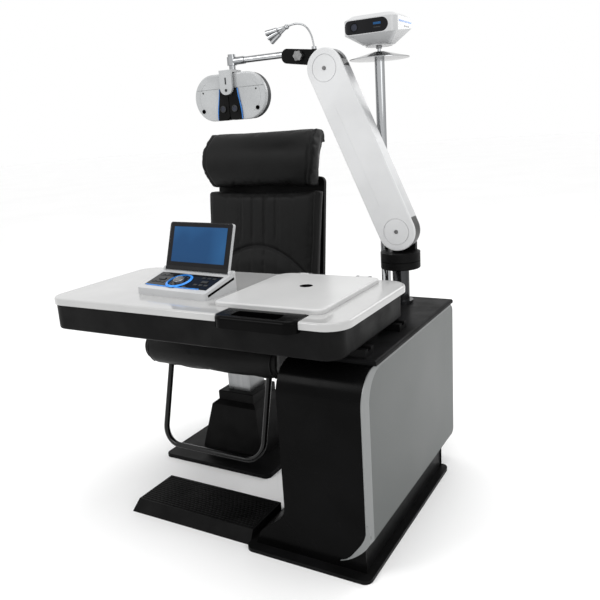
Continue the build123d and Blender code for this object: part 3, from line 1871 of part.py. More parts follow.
def back_cushion():
    """Back cushion with sewn upright channels and a rounded front."""
    half = back_width / 2
    low, high = back_cushion_start, head_start - seat_gap * 2
    depth = back_cushion_thick
    outline = (
        Line((-half + back_side_round, 0), (half - back_side_round, 0))
        + ThreePointArc(
            (half - back_side_round, 0),
            (half, -depth / 2),
            (half - back_side_round, -depth + channel_deep),
        )
        + ThreePointArc(
            (half - back_side_round, -depth + channel_deep),
            (0, -depth),
            (-half + back_side_round, -depth + channel_deep),
        )
        + ThreePointArc(
            (-half + back_side_round, -depth + channel_deep),
            (-half, -depth / 2),
            (-half + back_side_round, 0),
        )
    )
    cushion = extrude(make_face(outline), amount=high - low)
    cushion = Pos(0, 0, low) * cushion
    for number in range(channel_count + 1):
        x = (number - channel_count / 2) * channel_width
        groove = upright(x, -depth - channel_set, (low - overrun, high + overrun), channel_deep)
        cushion -= groove
    return on_back(cushion)


def headrest():
    """Wide pillow over the top of the back: full in the middle and drawn in at its lower edge."""
    half = head_width / 2
    low, high = head_start, head_start + head_height
    depth = head_thick
    hang = back_shell_thick + joint_gap / 2
    front = -depth - channel_deep
    outline = (
        Line((-seat_gap, low), (-back_cushion_thick + channel_deep * 2, low))
        + ThreePointArc(
            (-back_cushion_thick + channel_deep * 2, low), (front, (low + high) / 2), (-depth / 2, high)
        )
        + Line((-depth / 2, high), (0, high))
        + ThreePointArc((0, high), (hang, high - hang), (hang + seat_gap, high - depth / 2))
        + Line((hang + seat_gap, high - depth / 2), (-seat_gap, high - depth / 2))
        + Line((-seat_gap, high - depth / 2), (-seat_gap, low))
    )
    pillow = side_prism(outline, (-half, half))
    for side in (-1, 1):
        rail = side * head_rail_x
        pillow -= block(
            (rail - head_rail_width / 2 - seat_gap, rail + head_rail_width / 2 + seat_gap),
            (-overrun, back_shell_thick * 2),
            (low - overrun, back_start + back_length + head_rail_length + seat_gap),
        )
    return on_back(pillow)


def foot_ring():
    """Bent tube under the front of the seat, with an eye at the top of each leg."""
    run = (ring_foot_y - ring_axis_y, ring_foot_z - ring_axis_z)
    length = math.hypot(*run)
    lean = math.degrees(math.atan2(-run[0], -run[1]))
    half = ring_half_width
    start = ring_eye_radius / 2
    path = FilletPolyline(
        (-half, 0, -start), (-half, 0, -length), (half, 0, -length), (half, 0, -start), radius=ring_bend
    )
    tube = sweep(Plane(origin=(-half, 0, -start), z_dir=(0, 0, -1)) * Circle(ring_tube_radius), path)
    for side in (-1, 1):
        x = (side * half - ring_eye_length / 2, side * half + ring_eye_length / 2)
        tube += lengthwise(0, 0, x, ring_eye_radius)
    for side in (-1, 1):
        x = (side * half - ring_eye_length, side * half + ring_eye_length)
        tube -= lengthwise(0, 0, x, ring_pin_radius + running_gap)
    return Pos(chair_x, ring_axis_y, ring_axis_z) * Rot(-lean, 0, 0) * tube


def main():
    os.makedirs("parts", exist_ok=True)
    save("base_plate", floor_plate())
    save("foot_step", foot_step())
    save("cabinet_shell", cabinet_shell())
    save("side_panel", side_panel())
    save("cabinet_cover", cabinet_cover())
    save("rear_cover", rear_cover())
    save("power_inlet", power_inlet())
    save("cabinet_frame", cabinet_frame())
    save("power_supply", power_supply())
    save("arm_pole", arm_pole())
    save("projector_pole", projector_pole())
    save("projector_tray", projector_tray())
    save("clamp_ring", clamp_ring())
    save("rail_carriages", rail_carriages())
    save("chair_plate", chair_plate())
    save("column_cover", column_cover())
    save("guide_column", guide_column())
    save("table_slab", table_slab())
    save("table_apron", table_apron())
    save("table_handle", table_handle())
    save("lens_tray", lens_tray())
    save("table_rails", table_rails())
    save("lid_hinges", lid_hinges())
    save("lens_lid", lens_lid())
    save("console_base", console_base())
    save("keypad_plate", keypad_plate())
    save("dial_knob", dial_knob())
    save("page_key_left", page_key(-1))
    save("page_key_right", page_key(1))
    save("screen_shell", screen_shell())
    save("screen_display", screen_display())
    save("turret", turret())
    save("arm_face", arm_face())
    save("arm_body", arm_body() + strut_studs())
    save("arm_back", arm_back())
    save("arm_pins", arm_pins())
    save("levelling_link", levelling_link())
    save("balance_strut", balance_strut())
    save("elbow", elbow())
    save("lock_knob", lock_knob())
    save("forearm_rod", forearm_rod())
    save("hanger", hanger())
    save("phoropter_bracket", phoropter_bracket())
    for side, name in ((-1, "left"), (1, "right")):
        save(f"phoropter_cover_{name}", phoropter_cover(side))
        save(f"phoropter_housing_{name}", phoropter_housing(side))
        save(f"phoropter_eyepiece_{name}", phoropter_eyepiece(side))
    save("gooseneck_lamp", gooseneck_lamp())
    save("projector_neck", projector_neck())
    save("projector_body", projector_body())
    save("projector_window", projector_window())
    save("inner_column", inner_column())
    save("seat_frame", seat_frame())
    save("seat_cushion", seat_cushion())
    save("back_frame", back_frame())
    save("back_cushion", back_cushion())
    save("headrest", headrest())
    save("foot_ring", foot_ring())


main()
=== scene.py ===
import math

import bpy
from mathutils import Matrix, Vector


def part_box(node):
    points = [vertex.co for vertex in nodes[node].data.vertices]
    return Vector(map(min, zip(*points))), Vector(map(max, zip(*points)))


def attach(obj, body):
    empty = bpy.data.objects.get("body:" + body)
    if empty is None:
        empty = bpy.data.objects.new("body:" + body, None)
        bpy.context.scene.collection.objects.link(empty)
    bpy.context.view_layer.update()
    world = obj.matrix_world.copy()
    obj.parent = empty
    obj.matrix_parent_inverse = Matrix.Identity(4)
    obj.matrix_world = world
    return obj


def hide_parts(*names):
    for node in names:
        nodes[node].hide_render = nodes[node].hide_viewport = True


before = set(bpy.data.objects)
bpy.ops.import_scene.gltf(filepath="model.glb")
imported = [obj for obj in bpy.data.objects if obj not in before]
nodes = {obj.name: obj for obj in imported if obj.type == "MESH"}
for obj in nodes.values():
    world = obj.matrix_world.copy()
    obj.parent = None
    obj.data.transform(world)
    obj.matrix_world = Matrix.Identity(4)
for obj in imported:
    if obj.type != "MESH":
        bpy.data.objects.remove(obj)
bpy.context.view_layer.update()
mm = 0.001

# The chair's middle comes from the frame, and its back leans about the hinge
seatLow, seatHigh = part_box("seat_cushion")
chairX = (seatLow[0] + seatHigh[0]) / 2
backHinge = Vector((chairX, 492 * mm, 440 * mm))
backLean = math.radians(8)
backTurn = Matrix.Translation(backHinge) @ Matrix.Rotation(-backLean, 4, "X")

# The arm's two pivots, across and up, and the depth of its white face
pivots = {"low": (36 * mm, 881 * mm), "high": (-212 * mm, 1446 * mm), "front": 343 * mm}

upNormal = 0.9  # a face whose normal rises above this counts as a top
bevelAngle = math.radians(30)
smoothAngle = math.radians(35)

print("frame loaded")


# Small tools for modelling

def deselectAll():
    if bpy.context.object and bpy.context.object.mode != "OBJECT":
        bpy.ops.object.mode_set(mode="OBJECT")
    for item in list(bpy.context.selected_objects):
        item.select_set(False)


def pick(piece):
    deselectAll()
    piece.select_set(True)
    bpy.context.view_layer.objects.active = piece


def named(name):
    piece = bpy.context.object
    piece.name = name
    piece.data.name = name
    return piece


def settle(piece, matrix=None):
    # puts a piece in place and writes the place into its mesh
    pick(piece)
    if matrix is not None:
        piece.matrix_world = matrix @ piece.matrix_world
    bpy.ops.object.transform_apply(location=True, rotation=True, scale=True)
    return piece


def selectFaces(piece, wanted):
    pick(piece)
    bpy.ops.object.mode_set(mode="EDIT")
    bpy.ops.mesh.select_mode(type="FACE")
    bpy.ops.mesh.select_all(action="DESELECT")
    bpy.ops.object.mode_set(mode="OBJECT")
    for face in piece.data.polygons:
        face.select = wanted(face)
    bpy.ops.object.mode_set(mode="EDIT")


def leaveEdit():
    bpy.ops.mesh.select_all(action="SELECT")
    bpy.ops.mesh.normals_make_consistent(inside=False)
    bpy.ops.object.mode_set(mode="OBJECT")
    bpy.ops.object.shade_smooth_by_angle(angle=smoothAngle)


def addBevel(piece, width, segments=3):
    pick(piece)
    bevel = piece.modifiers.new("edge round", "BEVEL")
    bevel.width = width
    bevel.segments = segments
    bevel.limit_method = "ANGLE"
    bevel.angle_limit = bevelAngle
    bpy.ops.object.modifier_apply(modifier=bevel.name)
    bpy.ops.object.shade_smooth_by_angle(angle=smoothAngle)


def sinkTop(piece, dish, rim):
    # sinks the top of a piece inside a rim
    selectFaces(piece, lambda face: face.normal.z > upNormal)
    bpy.ops.mesh.inset(thickness=rim, depth=0)
    bpy.ops.mesh.extrude_region_move(TRANSFORM_OT_translate={"value": (0, 0, -dish)})
    leaveEdit()


def block(name, size):
    deselectAll()
    bpy.ops.mesh.primitive_cube_add(size=1)
    piece = named(name)
    piece.scale = size
    return settle(piece)


def plate(name, size, edge, dish, rim):
    # flat block with rounded edges and a top sunk inside its rim
    piece = block(name, size)
    sinkTop(piece, dish, rim)
    addBevel(piece, edge)
    return piece


def disc(name, radius, height, edge, dish=0.0, rim=0.0, sides=48):
    # round block standing on z 0; a dish sinks its top inside a rim
    deselectAll()
    bpy.ops.mesh.primitive_cylinder_add(
        vertices=sides, radius=radius, depth=height, location=(0, 0, height / 2))
    piece = settle(named(name))
    if dish:
        sinkTop(piece, dish, rim)
    addBevel(piece, edge, segments=2)
    return piece


def leadThrough(curve, points):
    # gives a curve one smooth line that starts and ends at the outer points
    curve.dimensions = "3D"
    spline = curve.splines.new("NURBS")
    spline.points.add(len(points) - 1)
    for knot, place in zip(spline.points, points):
        knot.co = (*place, 1)
    spline.order_u = 3
    spline.use_endpoint_u = True


def tube(name, points, radius):
    # round bar along a smooth line
    deselectAll()
    bpy.ops.curve.primitive_nurbs_path_add()
    line = named(name).data
    line.splines.clear()
    leadThrough(line, points)
    line.resolution_u = 6
    line.bevel_depth = radius
    line.bevel_resolution = 3
    line.use_fill_caps = True
    bpy.ops.object.convert(target="MESH")
    piece = bpy.context.object
    piece.name = name
    bpy.ops.object.shade_smooth()
    return piece


def join(pieces, name):
    deselectAll()
    for piece in pieces:
        piece.select_set(True)
    bpy.context.view_layer.objects.active = pieces[0]
    bpy.ops.object.join()
    return named(name)


def facing(normal, place):
    # matrix that turns a piece's top towards a direction and moves it to a place
    turn = Vector(normal).to_track_quat("Z", "Y").to_matrix().to_4x4()
    return Matrix.Translation(Vector(place)) @ turn


def toFront(across, depth, level):
    # matrix that turns a piece's top to the front and moves it to a place
    return facing((0, -1, 0), (across, depth, level))


def sample(steps, place):
    # places along a line, at even shares from 0 to 1
    return [place(step / steps) for step in range(steps + 1)]


def readPoints(piece, what="co"):
    flat = [0.0] * (3 * len(piece.data.vertices))
    piece.data.vertices.foreach_get(what, flat)
    return [Vector(flat[start:start + 3]) for start in range(0, len(flat), 3)]


def writePoints(piece, places):
    piece.data.vertices.foreach_set("co", [value for place in places for value in place])
    piece.data.update()


def ease(value, low, high):
    # 0 at low and 1 at high with a soft start and end, also where high lies below low
    t = min(1.0, max(0.0, (value - low) / (high - low)))
    return t * t * (3 - 2 * t)


# Finishes

def setInputs(tree, node, values):
    # an input is linked where its value is another node's output, and set otherwise
    for name, value in values.items():
        if isinstance(value, bpy.types.NodeSocket):
            tree.links.new(value, node.inputs[name])
        else:
            node.inputs[name].default_value = value


def addNode(tree, kind, values, **settings):
    made = tree.nodes.new(kind)
    for key, value in settings.items():
        setattr(made, key, value)
    setInputs(tree, made, values)
    return made.outputs


def noise(tree, source, scale, detail=4, rough=0.5):
    values = {"Vector": source, "Scale": scale, "Detail": detail, "Roughness": rough}
    return addNode(tree, "ShaderNodeTexNoise", values)["Fac"]


def spread(tree, source, to=(0, 1), span=(0.35, 0.65)):
    # stretches a span of a value to another range
    values = {"Value": source, "From Min": span[0], "From Max": span[1], "To Min": to[0], "To Max": to[1]}
    return addNode(tree, "ShaderNodeMapRange", values)["Result"]


def blendColours(tree, factor, first, second):
    values = {"Factor": factor}
    for socket, colour in ((6, first), (7, second)):  # the node's two colour inputs
        values[socket] = (*colour, 1) if isinstance(colour, tuple) else colour
    return addNode(tree, "ShaderNodeMix", values, data_type="RGBA")[2]


def cloudColour(tree, cloud, look):
    return blendColours(tree, spread(tree, cloud), look["dark"], look["light"])


def bump(tree, height, strength, distance, before=None):
    values = {"Height": height, "Strength": strength, "Distance": distance}
    if before is not None:
        values["Normal"] = before
    return addNode(tree, "ShaderNodeBump", values)["Normal"]


def startFinish(name, stretch=(1, 1, 1)):
    finish = bpy.data.materials.new(name)
    finish.use_nodes = True
    tree = finish.node_tree
    coords = addNode(tree, "ShaderNodeTexCoord", {})
    place = addNode(tree, "ShaderNodeMapping", {"Vector": coords["Object"], "Scale": stretch})
    return finish, tree, tree.nodes["Principled BSDF"], place["Vector"], coords


plainLook = {  # what a look has where it says nothing else
    "stretch": (1, 1, 1), "smudge": 14, "depth": 0.00003, "edgeBlend": 0.42,
    "metal": 0, "specular": 0.5, "coat": 0, "coatRough": 0.05,
}


def surface(name, look):
    # moulded, painted or metal surface: cloudy colour, uneven gloss, a fine grain and, with an edge tone,
    # painted reflection shade at grazing angles
    look = {**plainLook, **look}
    finish, tree, shader, place, _ = startFinish(name, look["stretch"])
    colour = cloudColour(tree, noise(tree, place, look["cloud"]), look)
    # an edge tone darkens the colour toward grazing angles: painted reflection shade that rounds poles,
    # columns and knobs
    if "edge" in look:
        rim = addNode(tree, "ShaderNodeLayerWeight", {"Blend": look["edgeBlend"]})
        grazingShade = tuple(value * look["edge"] for value in look["dark"])
        colour = blendColours(tree, rim["Facing"], colour, grazingShade)
    grain = noise(tree, place, look["grain"], detail=3)
    smudge = noise(tree, place, look["smudge"], detail=5)
    setInputs(tree, shader, {
        "Base Color": colour, "Roughness": spread(tree, smudge, look["rough"]),
        "Normal": bump(tree, grain, look["relief"], look["depth"]),
        "Metallic": look["metal"], "Specular IOR Level": look["specular"],
        "Coat Weight": look["coat"], "Coat Roughness": look["coatRough"]})
    return finish


def leatherSurface(name, look):
    # cells of grain between fine creases, over slow wrinkles; the creases get a darker painted shade
    finish, tree, shader, place, _ = startFinish(name)
    cells = addNode(
        tree, "ShaderNodeTexVoronoi", {"Vector": place, "Scale": look["cells"]}, feature="DISTANCE_TO_EDGE")
    crease = spread(tree, cells["Distance"], span=(0.0, look["creaseWide"]))
    wrinkle = noise(tree, place, look["wrinkle"], detail=6, rough=0.6)
    folds = bump(tree, wrinkle, look["foldRelief"], look["foldDepth"])
    cloud = noise(tree, place, look["cloud"])
    # the crease mask darkens the colour in the grain's creases: painted shade
    setInputs(tree, shader, {
        "Base Color": blendColours(tree, crease, look["crease"], cloudColour(tree, cloud, look)),
        "Roughness": spread(tree, cloud, look["rough"]),
        "Normal": bump(tree, crease, look["cellRelief"], look["cellDepth"], folds),
        "Specular IOR Level": look["specular"]})
    return finish


def panelSurface(name, look):
    # sparkle paint on the flat of the side panel, brighter metal on its bevel and tail
    finish, tree, shader, place, coords = startFinish(name)
    split = addNode(tree, "ShaderNodeSeparateXYZ", {"Vector": coords["Normal"]})
    flat = spread(tree, split["X"], span=look["flatNormals"])
    sparkle = noise(tree, place, look["fleckScale"], detail=2, rough=0.75)
    flecks = spread(tree, sparkle, span=look["fleckSpread"])
    cloud = noise(tree, place, look["cloud"])
    paint = blendColours(tree, flecks, cloudColour(tree, cloud, look), look["fleck"])
    setInputs(tree, shader, {
        "Base Color": blendColours(tree, flat, look["edge"], paint),
        "Roughness": spread(tree, cloud, look["rough"]),
        "Normal": bump(tree, sparkle, look["relief"], look["depth"]),
        "Metallic": look["metal"], "Coat Weight": look["coat"], "Coat Roughness": look["coatRough"]})
    return finish


def glowSurface(name, look):
    # lit display: even light with slow bands
    finish, tree, shader, place, _ = startFinish(name)
    cloud = noise(tree, place, look["cloud"], detail=2)
    colour = cloudColour(tree, cloud, look)
    setInputs(tree, shader, {
        "Base Color": colour, "Emission Color": colour, "Emission Strength": look["glow"],
        "Roughness": spread(tree, cloud, look["rough"]), "Specular IOR Level": look["specular"]})
    return finish


def finishParts(finish):
    # tree, shader and coordinates of a finish, and the colour that it has so far
    tree = finish.node_tree
    shader = tree.nodes["Principled BSDF"]
    coords = next(item.outputs for item in tree.nodes if item.type == "TEX_COORD")
    return tree, shader, coords, shader.inputs["Base Color"].links[0].from_socket


def darkSpots(finish, points, spot):
    # paints a finish near some points; axes says how much each axis counts in the distance
    for point in points:
        tree, shader, coords, before = finishParts(finish)
        shift = addNode(tree, "ShaderNodeMapping", {
            "Vector": coords["Object"], "Scale": spot["axes"],
            "Location": [-value * keep for value, keep in zip(point, spot["axes"])]})
        length = addNode(tree, "ShaderNodeVectorMath", {0: shift["Vector"]}, operation="LENGTH")
        share = spread(tree, length["Value"], span=spot["fade"])
        setInputs(tree, shader, {"Base Color": blendColours(tree, share, spot["colour"], before)})


def darkFront(finish, front):
    # paints the faces of a finish that look one way
    tree, shader, coords, before = finishParts(finish)
    values = {0: coords["Normal"], 1: front["way"]}
    turn = addNode(tree, "ShaderNodeVectorMath", values, operation="DOT_PRODUCT")
    share = spread(tree, turn["Value"], span=front["turned"])
    setInputs(tree, shader, {"Base Color": blendColours(tree, share, before, front["colour"])})


# in the steel, chrome, pole and knob looks the edge value sets how dark the colour turns toward grazing
# angles, a painted reflection shade
finishes = {
    "whiteGloss": surface("white gloss plastic", {
        "dark": (0.44, 0.445, 0.45), "light": (0.50, 0.505, 0.51), "rough": (0.18, 0.26),
        "cloud": 5, "grain": 600, "relief": 0.06, "coat": 0.15, "coatRough": 0.08}),
    "phoropterWhite": surface("satin instrument white", {
        "dark": (0.36, 0.37, 0.375), "light": (0.41, 0.42, 0.425), "rough": (0.22, 0.3),
        "cloud": 12, "grain": 900, "relief": 0.08, "coat": 0.2, "coatRough": 0.1}),
    "tableGloss": surface("polished table lacquer", {
        "dark": (0.40, 0.40, 0.398), "light": (0.44, 0.44, 0.437), "rough": (0.13, 0.15),
        "cloud": 4, "grain": 420, "relief": 0.02, "coat": 0.3, "coatRough": 0.04}),
    "whitePaint": surface("white powder paint", {
        "dark": (0.57, 0.575, 0.58), "light": (0.62, 0.625, 0.63), "rough": (0.4, 0.5),
        "cloud": 6, "grain": 1400, "relief": 0.12, "coat": 0.05, "specular": 0.25}),
    "blackGloss": surface("black gloss lacquer", {
        "dark": (0.0015, 0.0015, 0.0015), "light": (0.0026, 0.0026, 0.0027), "rough": (0.18, 0.28),
        "cloud": 7, "grain": 500, "relief": 0.06, "specular": 0.04}),
    "blackPlastic": surface("black moulded plastic", {
        "dark": (0.0035, 0.0035, 0.0036), "light": (0.007, 0.007, 0.007), "rough": (0.34, 0.48),
        "cloud": 12, "grain": 1800, "relief": 0.3, "depth": 0.00006, "specular": 0.055}),
    "blackPaint": surface("black powder paint", {
        "dark": (0.0035, 0.0035, 0.0035), "light": (0.0065, 0.0065, 0.0068), "rough": (0.32, 0.44),
        "cloud": 10, "grain": 2400, "relief": 0.28, "depth": 0.00005, "specular": 0.05}),
    "tubeGloss": surface("glossy black tube", {
        "dark": (0.003, 0.003, 0.003), "light": (0.005, 0.005, 0.0052), "rough": (0.12, 0.2),
        "cloud": 12, "grain": 1400, "relief": 0.08, "specular": 0.3}),
    "coverBlack": surface("dark cabinet cover", {
        "dark": (0.006, 0.006, 0.006), "light": (0.011, 0.011, 0.0115), "rough": (0.3, 0.42),
        "cloud": 10, "grain": 1200, "relief": 0.14, "specular": 0.02}),
    "silverCast": surface("silver cast metal", {
        "dark": (0.42, 0.425, 0.43), "light": (0.49, 0.495, 0.50), "rough": (0.34, 0.44),
        "cloud": 14, "grain": 2200, "relief": 0.2, "depth": 0.00004, "metal": 0.35}),
    "steel": surface("brushed column steel", {
        "dark": (0.30, 0.305, 0.31), "light": (0.40, 0.405, 0.41), "rough": (0.26, 0.4),
        "cloud": 40, "grain": 900, "relief": 0.16, "metal": 0.85, "stretch": (1, 1, 0.04), "edge": 0.35}),
    "chrome": surface("polished chrome", {
        "dark": (0.40, 0.41, 0.42), "light": (0.50, 0.51, 0.52), "rough": (0.06, 0.13),
        "cloud": 20, "grain": 700, "relief": 0.03, "metal": 1, "stretch": (1, 1, 0.2), "edge": 0.1}),
    "poleChrome": surface("dark chrome pole", {
        "dark": (0.035, 0.036, 0.038), "light": (0.06, 0.061, 0.064), "rough": (0.1, 0.18),
        "cloud": 20, "grain": 700, "relief": 0.04, "metal": 0.8, "stretch": (1, 1, 0.1), "edge": 0.4,
        "specular": 0.1}),
    "greyPlastic": surface("dark grey plastic", {
        "dark": (0.022, 0.0235, 0.025), "light": (0.034, 0.036, 0.038), "rough": (0.36, 0.46),
        "cloud": 18, "grain": 1800, "relief": 0.25, "depth": 0.00005, "specular": 0.2}),
    "windowGlass": surface("black window glass", {
        "dark": (0.002, 0.002, 0.003), "light": (0.004, 0.004, 0.005), "rough": (0.05, 0.1),
        "cloud": 12, "grain": 300, "relief": 0.02, "specular": 0.2}),
    "lensGlass": surface("coated lens", {
        "dark": (0.006, 0.008, 0.014), "light": (0.012, 0.016, 0.034), "rough": (0.03, 0.06),
        "cloud": 60, "grain": 300, "relief": 0.02, "coat": 0.3, "specular": 0.3}),
    "screwSteel": surface("screw steel", {
        "dark": (0.13, 0.13, 0.13), "light": (0.2, 0.2, 0.2), "rough": (0.3, 0.42),
        "cloud": 60, "grain": 3000, "relief": 0.2, "metal": 0.9}),
    "innerSteel": surface("grey inner steel", {
        "dark": (0.14, 0.145, 0.15), "light": (0.2, 0.205, 0.21), "rough": (0.4, 0.5),
        "cloud": 14, "grain": 1500, "relief": 0.2, "metal": 0.3}),
    "blueTrim": surface("blue trim", {
        "dark": (0.015, 0.13, 0.42), "light": (0.025, 0.19, 0.56), "rough": (0.25, 0.35),
        "cloud": 50, "grain": 1500, "relief": 0.08, "coat": 0.2}),
    "silverKnob": surface("turned knob metal", {
        "dark": (0.32, 0.325, 0.33), "light": (0.44, 0.445, 0.45), "rough": (0.24, 0.34),
        "cloud": 60, "grain": 2600, "relief": 0.22, "metal": 0.8, "edge": 0.3}),
    "display": glowSurface("lit display", {
        "dark": (0.007, 0.043, 0.118), "light": (0.012, 0.066, 0.168), "rough": (0.14, 0.22),
        "cloud": 6, "glow": 0.3, "specular": 0.15}),
    "blueGlow": glowSurface("lit blue ring", {
        "dark": (0.02, 0.16, 0.52), "light": (0.05, 0.25, 0.68), "rough": (0.2, 0.3),
        "cloud": 90, "glow": 0.35, "specular": 0.15}),
    # a leather look's crease tone is painted shade in the grain's creases
    "leather": leatherSurface("black leather", {
        "dark": (0.0045, 0.0045, 0.0045), "light": (0.0085, 0.0086, 0.0086),
        "crease": (0.0025, 0.0025, 0.0025), "creaseWide": 0.16, "cells": 720, "wrinkle": 26,
        "cloud": 11, "rough": (0.42, 0.56),
        "foldRelief": 0.22, "foldDepth": 0.0012, "cellRelief": 0.5, "cellDepth": 0.00012,
        "specular": 0.13}),
    "pipingLeather": leatherSurface("piping leather", {
        "dark": (0.005, 0.005, 0.005), "light": (0.009, 0.009, 0.009), "crease": (0.003, 0.003, 0.003),
        "cells": 1100, "creaseWide": 0.16, "wrinkle": 60, "cloud": 30, "rough": (0.34, 0.44),
        "foldRelief": 0.1, "foldDepth": 0.0012, "cellRelief": 0.4, "cellDepth": 0.00012,
        "specular": 0.16}),
    "sidePanel": panelSurface("silver side panel", {
        "dark": (0.040, 0.046, 0.044), "light": (0.054, 0.061, 0.059), "fleck": (0.12, 0.132, 0.127),
        "edge": (0.2, 0.207, 0.206), "fleckScale": 1500, "fleckSpread": (0.45, 0.75),
        "cloud": 3, "rough": (0.34, 0.42), "relief": 0.12, "depth": 0.00006, "metal": 0.3,
        "coat": 0.06, "coatRough": 0.12, "flatNormals": (0.993, 0.9975)}),
    "armSide": surface("arm side", {
        "dark": (0.46, 0.465, 0.47), "light": (0.52, 0.525, 0.53), "rough": (0.34, 0.44),
        "cloud": 14, "grain": 2200, "relief": 0.2, "depth": 0.00004, "metal": 0.2}),
    "lidGloss": surface("lid lacquer", {
        "dark": (0.51, 0.512, 0.51), "light": (0.55, 0.55, 0.548), "rough": (0.30, 0.32),
        "cloud": 4, "grain": 420, "relief": 0.02, "coat": 0.12, "coatRough": 0.15, "specular": 0.3}),
    "screenShell": surface("white screen shell", {
        "dark": (0.44, 0.445, 0.45), "light": (0.5, 0.505, 0.51), "rough": (0.2, 0.28),
        "cloud": 8, "grain": 800, "relief": 0.06, "specular": 0.25}),
}

# Dark ends of the arm's sides, painted shade for the lid's finger hole and the screen's black front
armEnd = {"fade": (70.5 * mm, 71.5 * mm), "axes": (1, 0, 1), "colour": (0.006, 0.006, 0.006)}
# the finger hole is not cut: a dark disc painted into the lid's colour stands for the shade in the hole
fingerHoleShade = {
    "middle": (-112 * mm, -52 * mm, 0), "fade": (21.2 * mm, 21.6 * mm), "axes": (1, 1.08, 0),
    "colour": (0.004, 0.004, 0.004),
}
screenFront = {
    "way": (-0.0829, -0.9475, 0.3090), "turned": (0.55, 0.75), "colour": (0.004, 0.004, 0.0045),
}
armPivots = [(pivots[name][0], 0, pivots[name][1]) for name in ("high", "low")]
darkSpots(finishes["armSide"], armPivots, armEnd)
darkSpots(finishes["lidGloss"], [fingerHoleShade["middle"]], fingerHoleShade)
darkFront(finishes["screenShell"], screenFront)
print("finishes made")

nodeFinish = {
    "blackPaint": (
        "base_plate", "rear_cover", "cabinet_frame", "rail_carriages", "chair_plate", "table_rails",
        "balance_strut", "elbow", "seat_frame"),
    "blackPlastic": (
        "foot_step", "power_inlet", "clamp_ring", "column_cover", "table_apron", "lens_tray",
        "turret", "phoropter_eyepiece_left", "phoropter_eyepiece_right", "back_frame"),
    "blackGloss": ("cabinet_shell", "table_handle"),
    "sidePanel": ("side_panel",),
    "coverBlack": ("cabinet_cover",),
    "innerSteel": ("power_supply",),
    "poleChrome": ("arm_pole",),
    "chrome": ("projector_pole", "projector_tray", "forearm_rod", "hanger"),
    "steel": ("guide_column", "lid_hinges", "levelling_link", "projector_neck", "inner_column"),
    "tableGloss": ("table_slab",),
    "whiteGloss": ("console_base", "projector_body"),
    "windowGlass": ("keypad_plate", "screen_display", "projector_window"),
    "lidGloss": ("lens_lid",),
    "screenShell": ("screen_shell",),
    "silverKnob": ("dial_knob",),
    "greyPlastic": (
        "page_key_left", "page_key_right", "phoropter_housing_left", "phoropter_housing_right"),
    "whitePaint": ("arm_face",),
    "armSide": ("arm_body",),
    "silverCast": ("arm_back",),
    "screwSteel": ("arm_pins", "lock_knob"),
    "phoropterWhite": ("phoropter_bracket", "phoropter_cover_left", "phoropter_cover_right"),
    "tubeGloss": ("foot_ring",),
}


def finishWith(piece, finishName):
    piece.data.materials.clear()
    piece.data.materials.append(finishes[finishName])


def dress(piece, finishName, body):
    finishWith(piece, finishName)
    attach(piece, body)
    return piece


def fit(piece, matrix, finishName, body):
    return dress(settle(piece, matrix), finishName, body)


for finishName, finished in nodeFinish.items():
    for node in finished:
        finishWith(nodes[node], finishName)


# Cushions

stuffing = {
    "voxel": 6 * mm, "swell": 11 * mm, "frames": 20, "pressure": 4.0, "quality": 4,
    "stretchStiff": 12, "bendStiff": 1.5, "relaxRounds": 4,
}


def blowUp(piece):
    # swells a pad as cloth and keeps each point within the swell
    start = readPoints(piece)
    cloth = piece.modifiers.new("stuffing", "CLOTH")
    cloth.settings.quality = stuffing["quality"]
    cloth.settings.use_pressure = True
    cloth.settings.uniform_pressure_force = stuffing["pressure"]
    cloth.settings.tension_stiffness = stuffing["stretchStiff"]
    cloth.settings.compression_stiffness = stuffing["stretchStiff"]
    cloth.settings.bending_stiffness = stuffing["bendStiff"]
    cloth.settings.effector_weights.gravity = 0
    cloth.collision_settings.use_collision = False
    cloth.collision_settings.use_self_collision = False
    cloth.point_cache.frame_start = 1
    cloth.point_cache.frame_end = stuffing["frames"]
    for step in range(1, stuffing["frames"] + 1):
        bpy.context.scene.frame_set(step)
    ends = readPoints(piece.evaluated_get(bpy.context.evaluated_depsgraph_get()))
    piece.modifiers.remove(cloth)
    bpy.context.scene.frame_set(1)
    places = []
    for old, new in zip(start, ends):
        move = new - old
        places.append(old + move * min(1.0, stuffing["swell"] / max(move.length, 1e-9)))
    writePoints(piece, places)
    relax = piece.modifiers.new("relax", "SMOOTH")
    relax.iterations = stuffing["relaxRounds"]
    bpy.ops.object.modifier_apply(modifier=relax.name)


def stuff(piece):
    # gives a pad an even mesh, stuffs it and makes the mesh finer
    pick(piece)
    remesh = piece.modifiers.new("even mesh", "REMESH")
    remesh.mode = "VOXEL"
    remesh.voxel_size = stuffing["voxel"]
    bpy.ops.object.modifier_apply(modifier=remesh.name)
    blowUp(piece)
    finer = piece.modifiers.new("finer", "SUBSURF")
    finer.levels = 1
    finer.render_levels = 1
    bpy.ops.object.modifier_apply(modifier=finer.name)
    bpy.ops.object.shade_smooth()


def softCopy(node, name):
    # merged copy of a cushion's frame solid, as a start for the stuffed one
    pick(nodes[node])
    bpy.ops.object.duplicate()
    piece = named(name)
    piece.parent = None
    piece.matrix_world = Matrix.Identity(4)
    bpy.ops.object.mode_set(mode="EDIT")
    bpy.ops.mesh.select_all(action="SELECT")
    bpy.ops.mesh.remove_doubles(threshold=0.00002)
    bpy.ops.mesh.normals_make_consistent(inside=False)
    bpy.ops.object.mode_set(mode="OBJECT")
    return piece


def pointBox(points):
    low = Vector([min(place[axis] for place in points) for axis in range(3)])
    high = Vector([max(place[axis] for place in points) for axis in range(3)])
    return low, high


def shrinkBy(margin, size):
    # scale that takes a margin off every side
    return Vector([1 - 2 * margin / size[axis] for axis in range(3)])


def groove(offset, width):
    return math.exp(-(offset / width) ** 2)


def layOn(piece, points, lift):
    # moves points of a seam onto the stuffed surface
    laid = []
    for point in points:
        hit, place, normal, _ = piece.closest_point_on_mesh(point)
        laid.append(place + normal * lift if hit else Vector(point))
    return laid


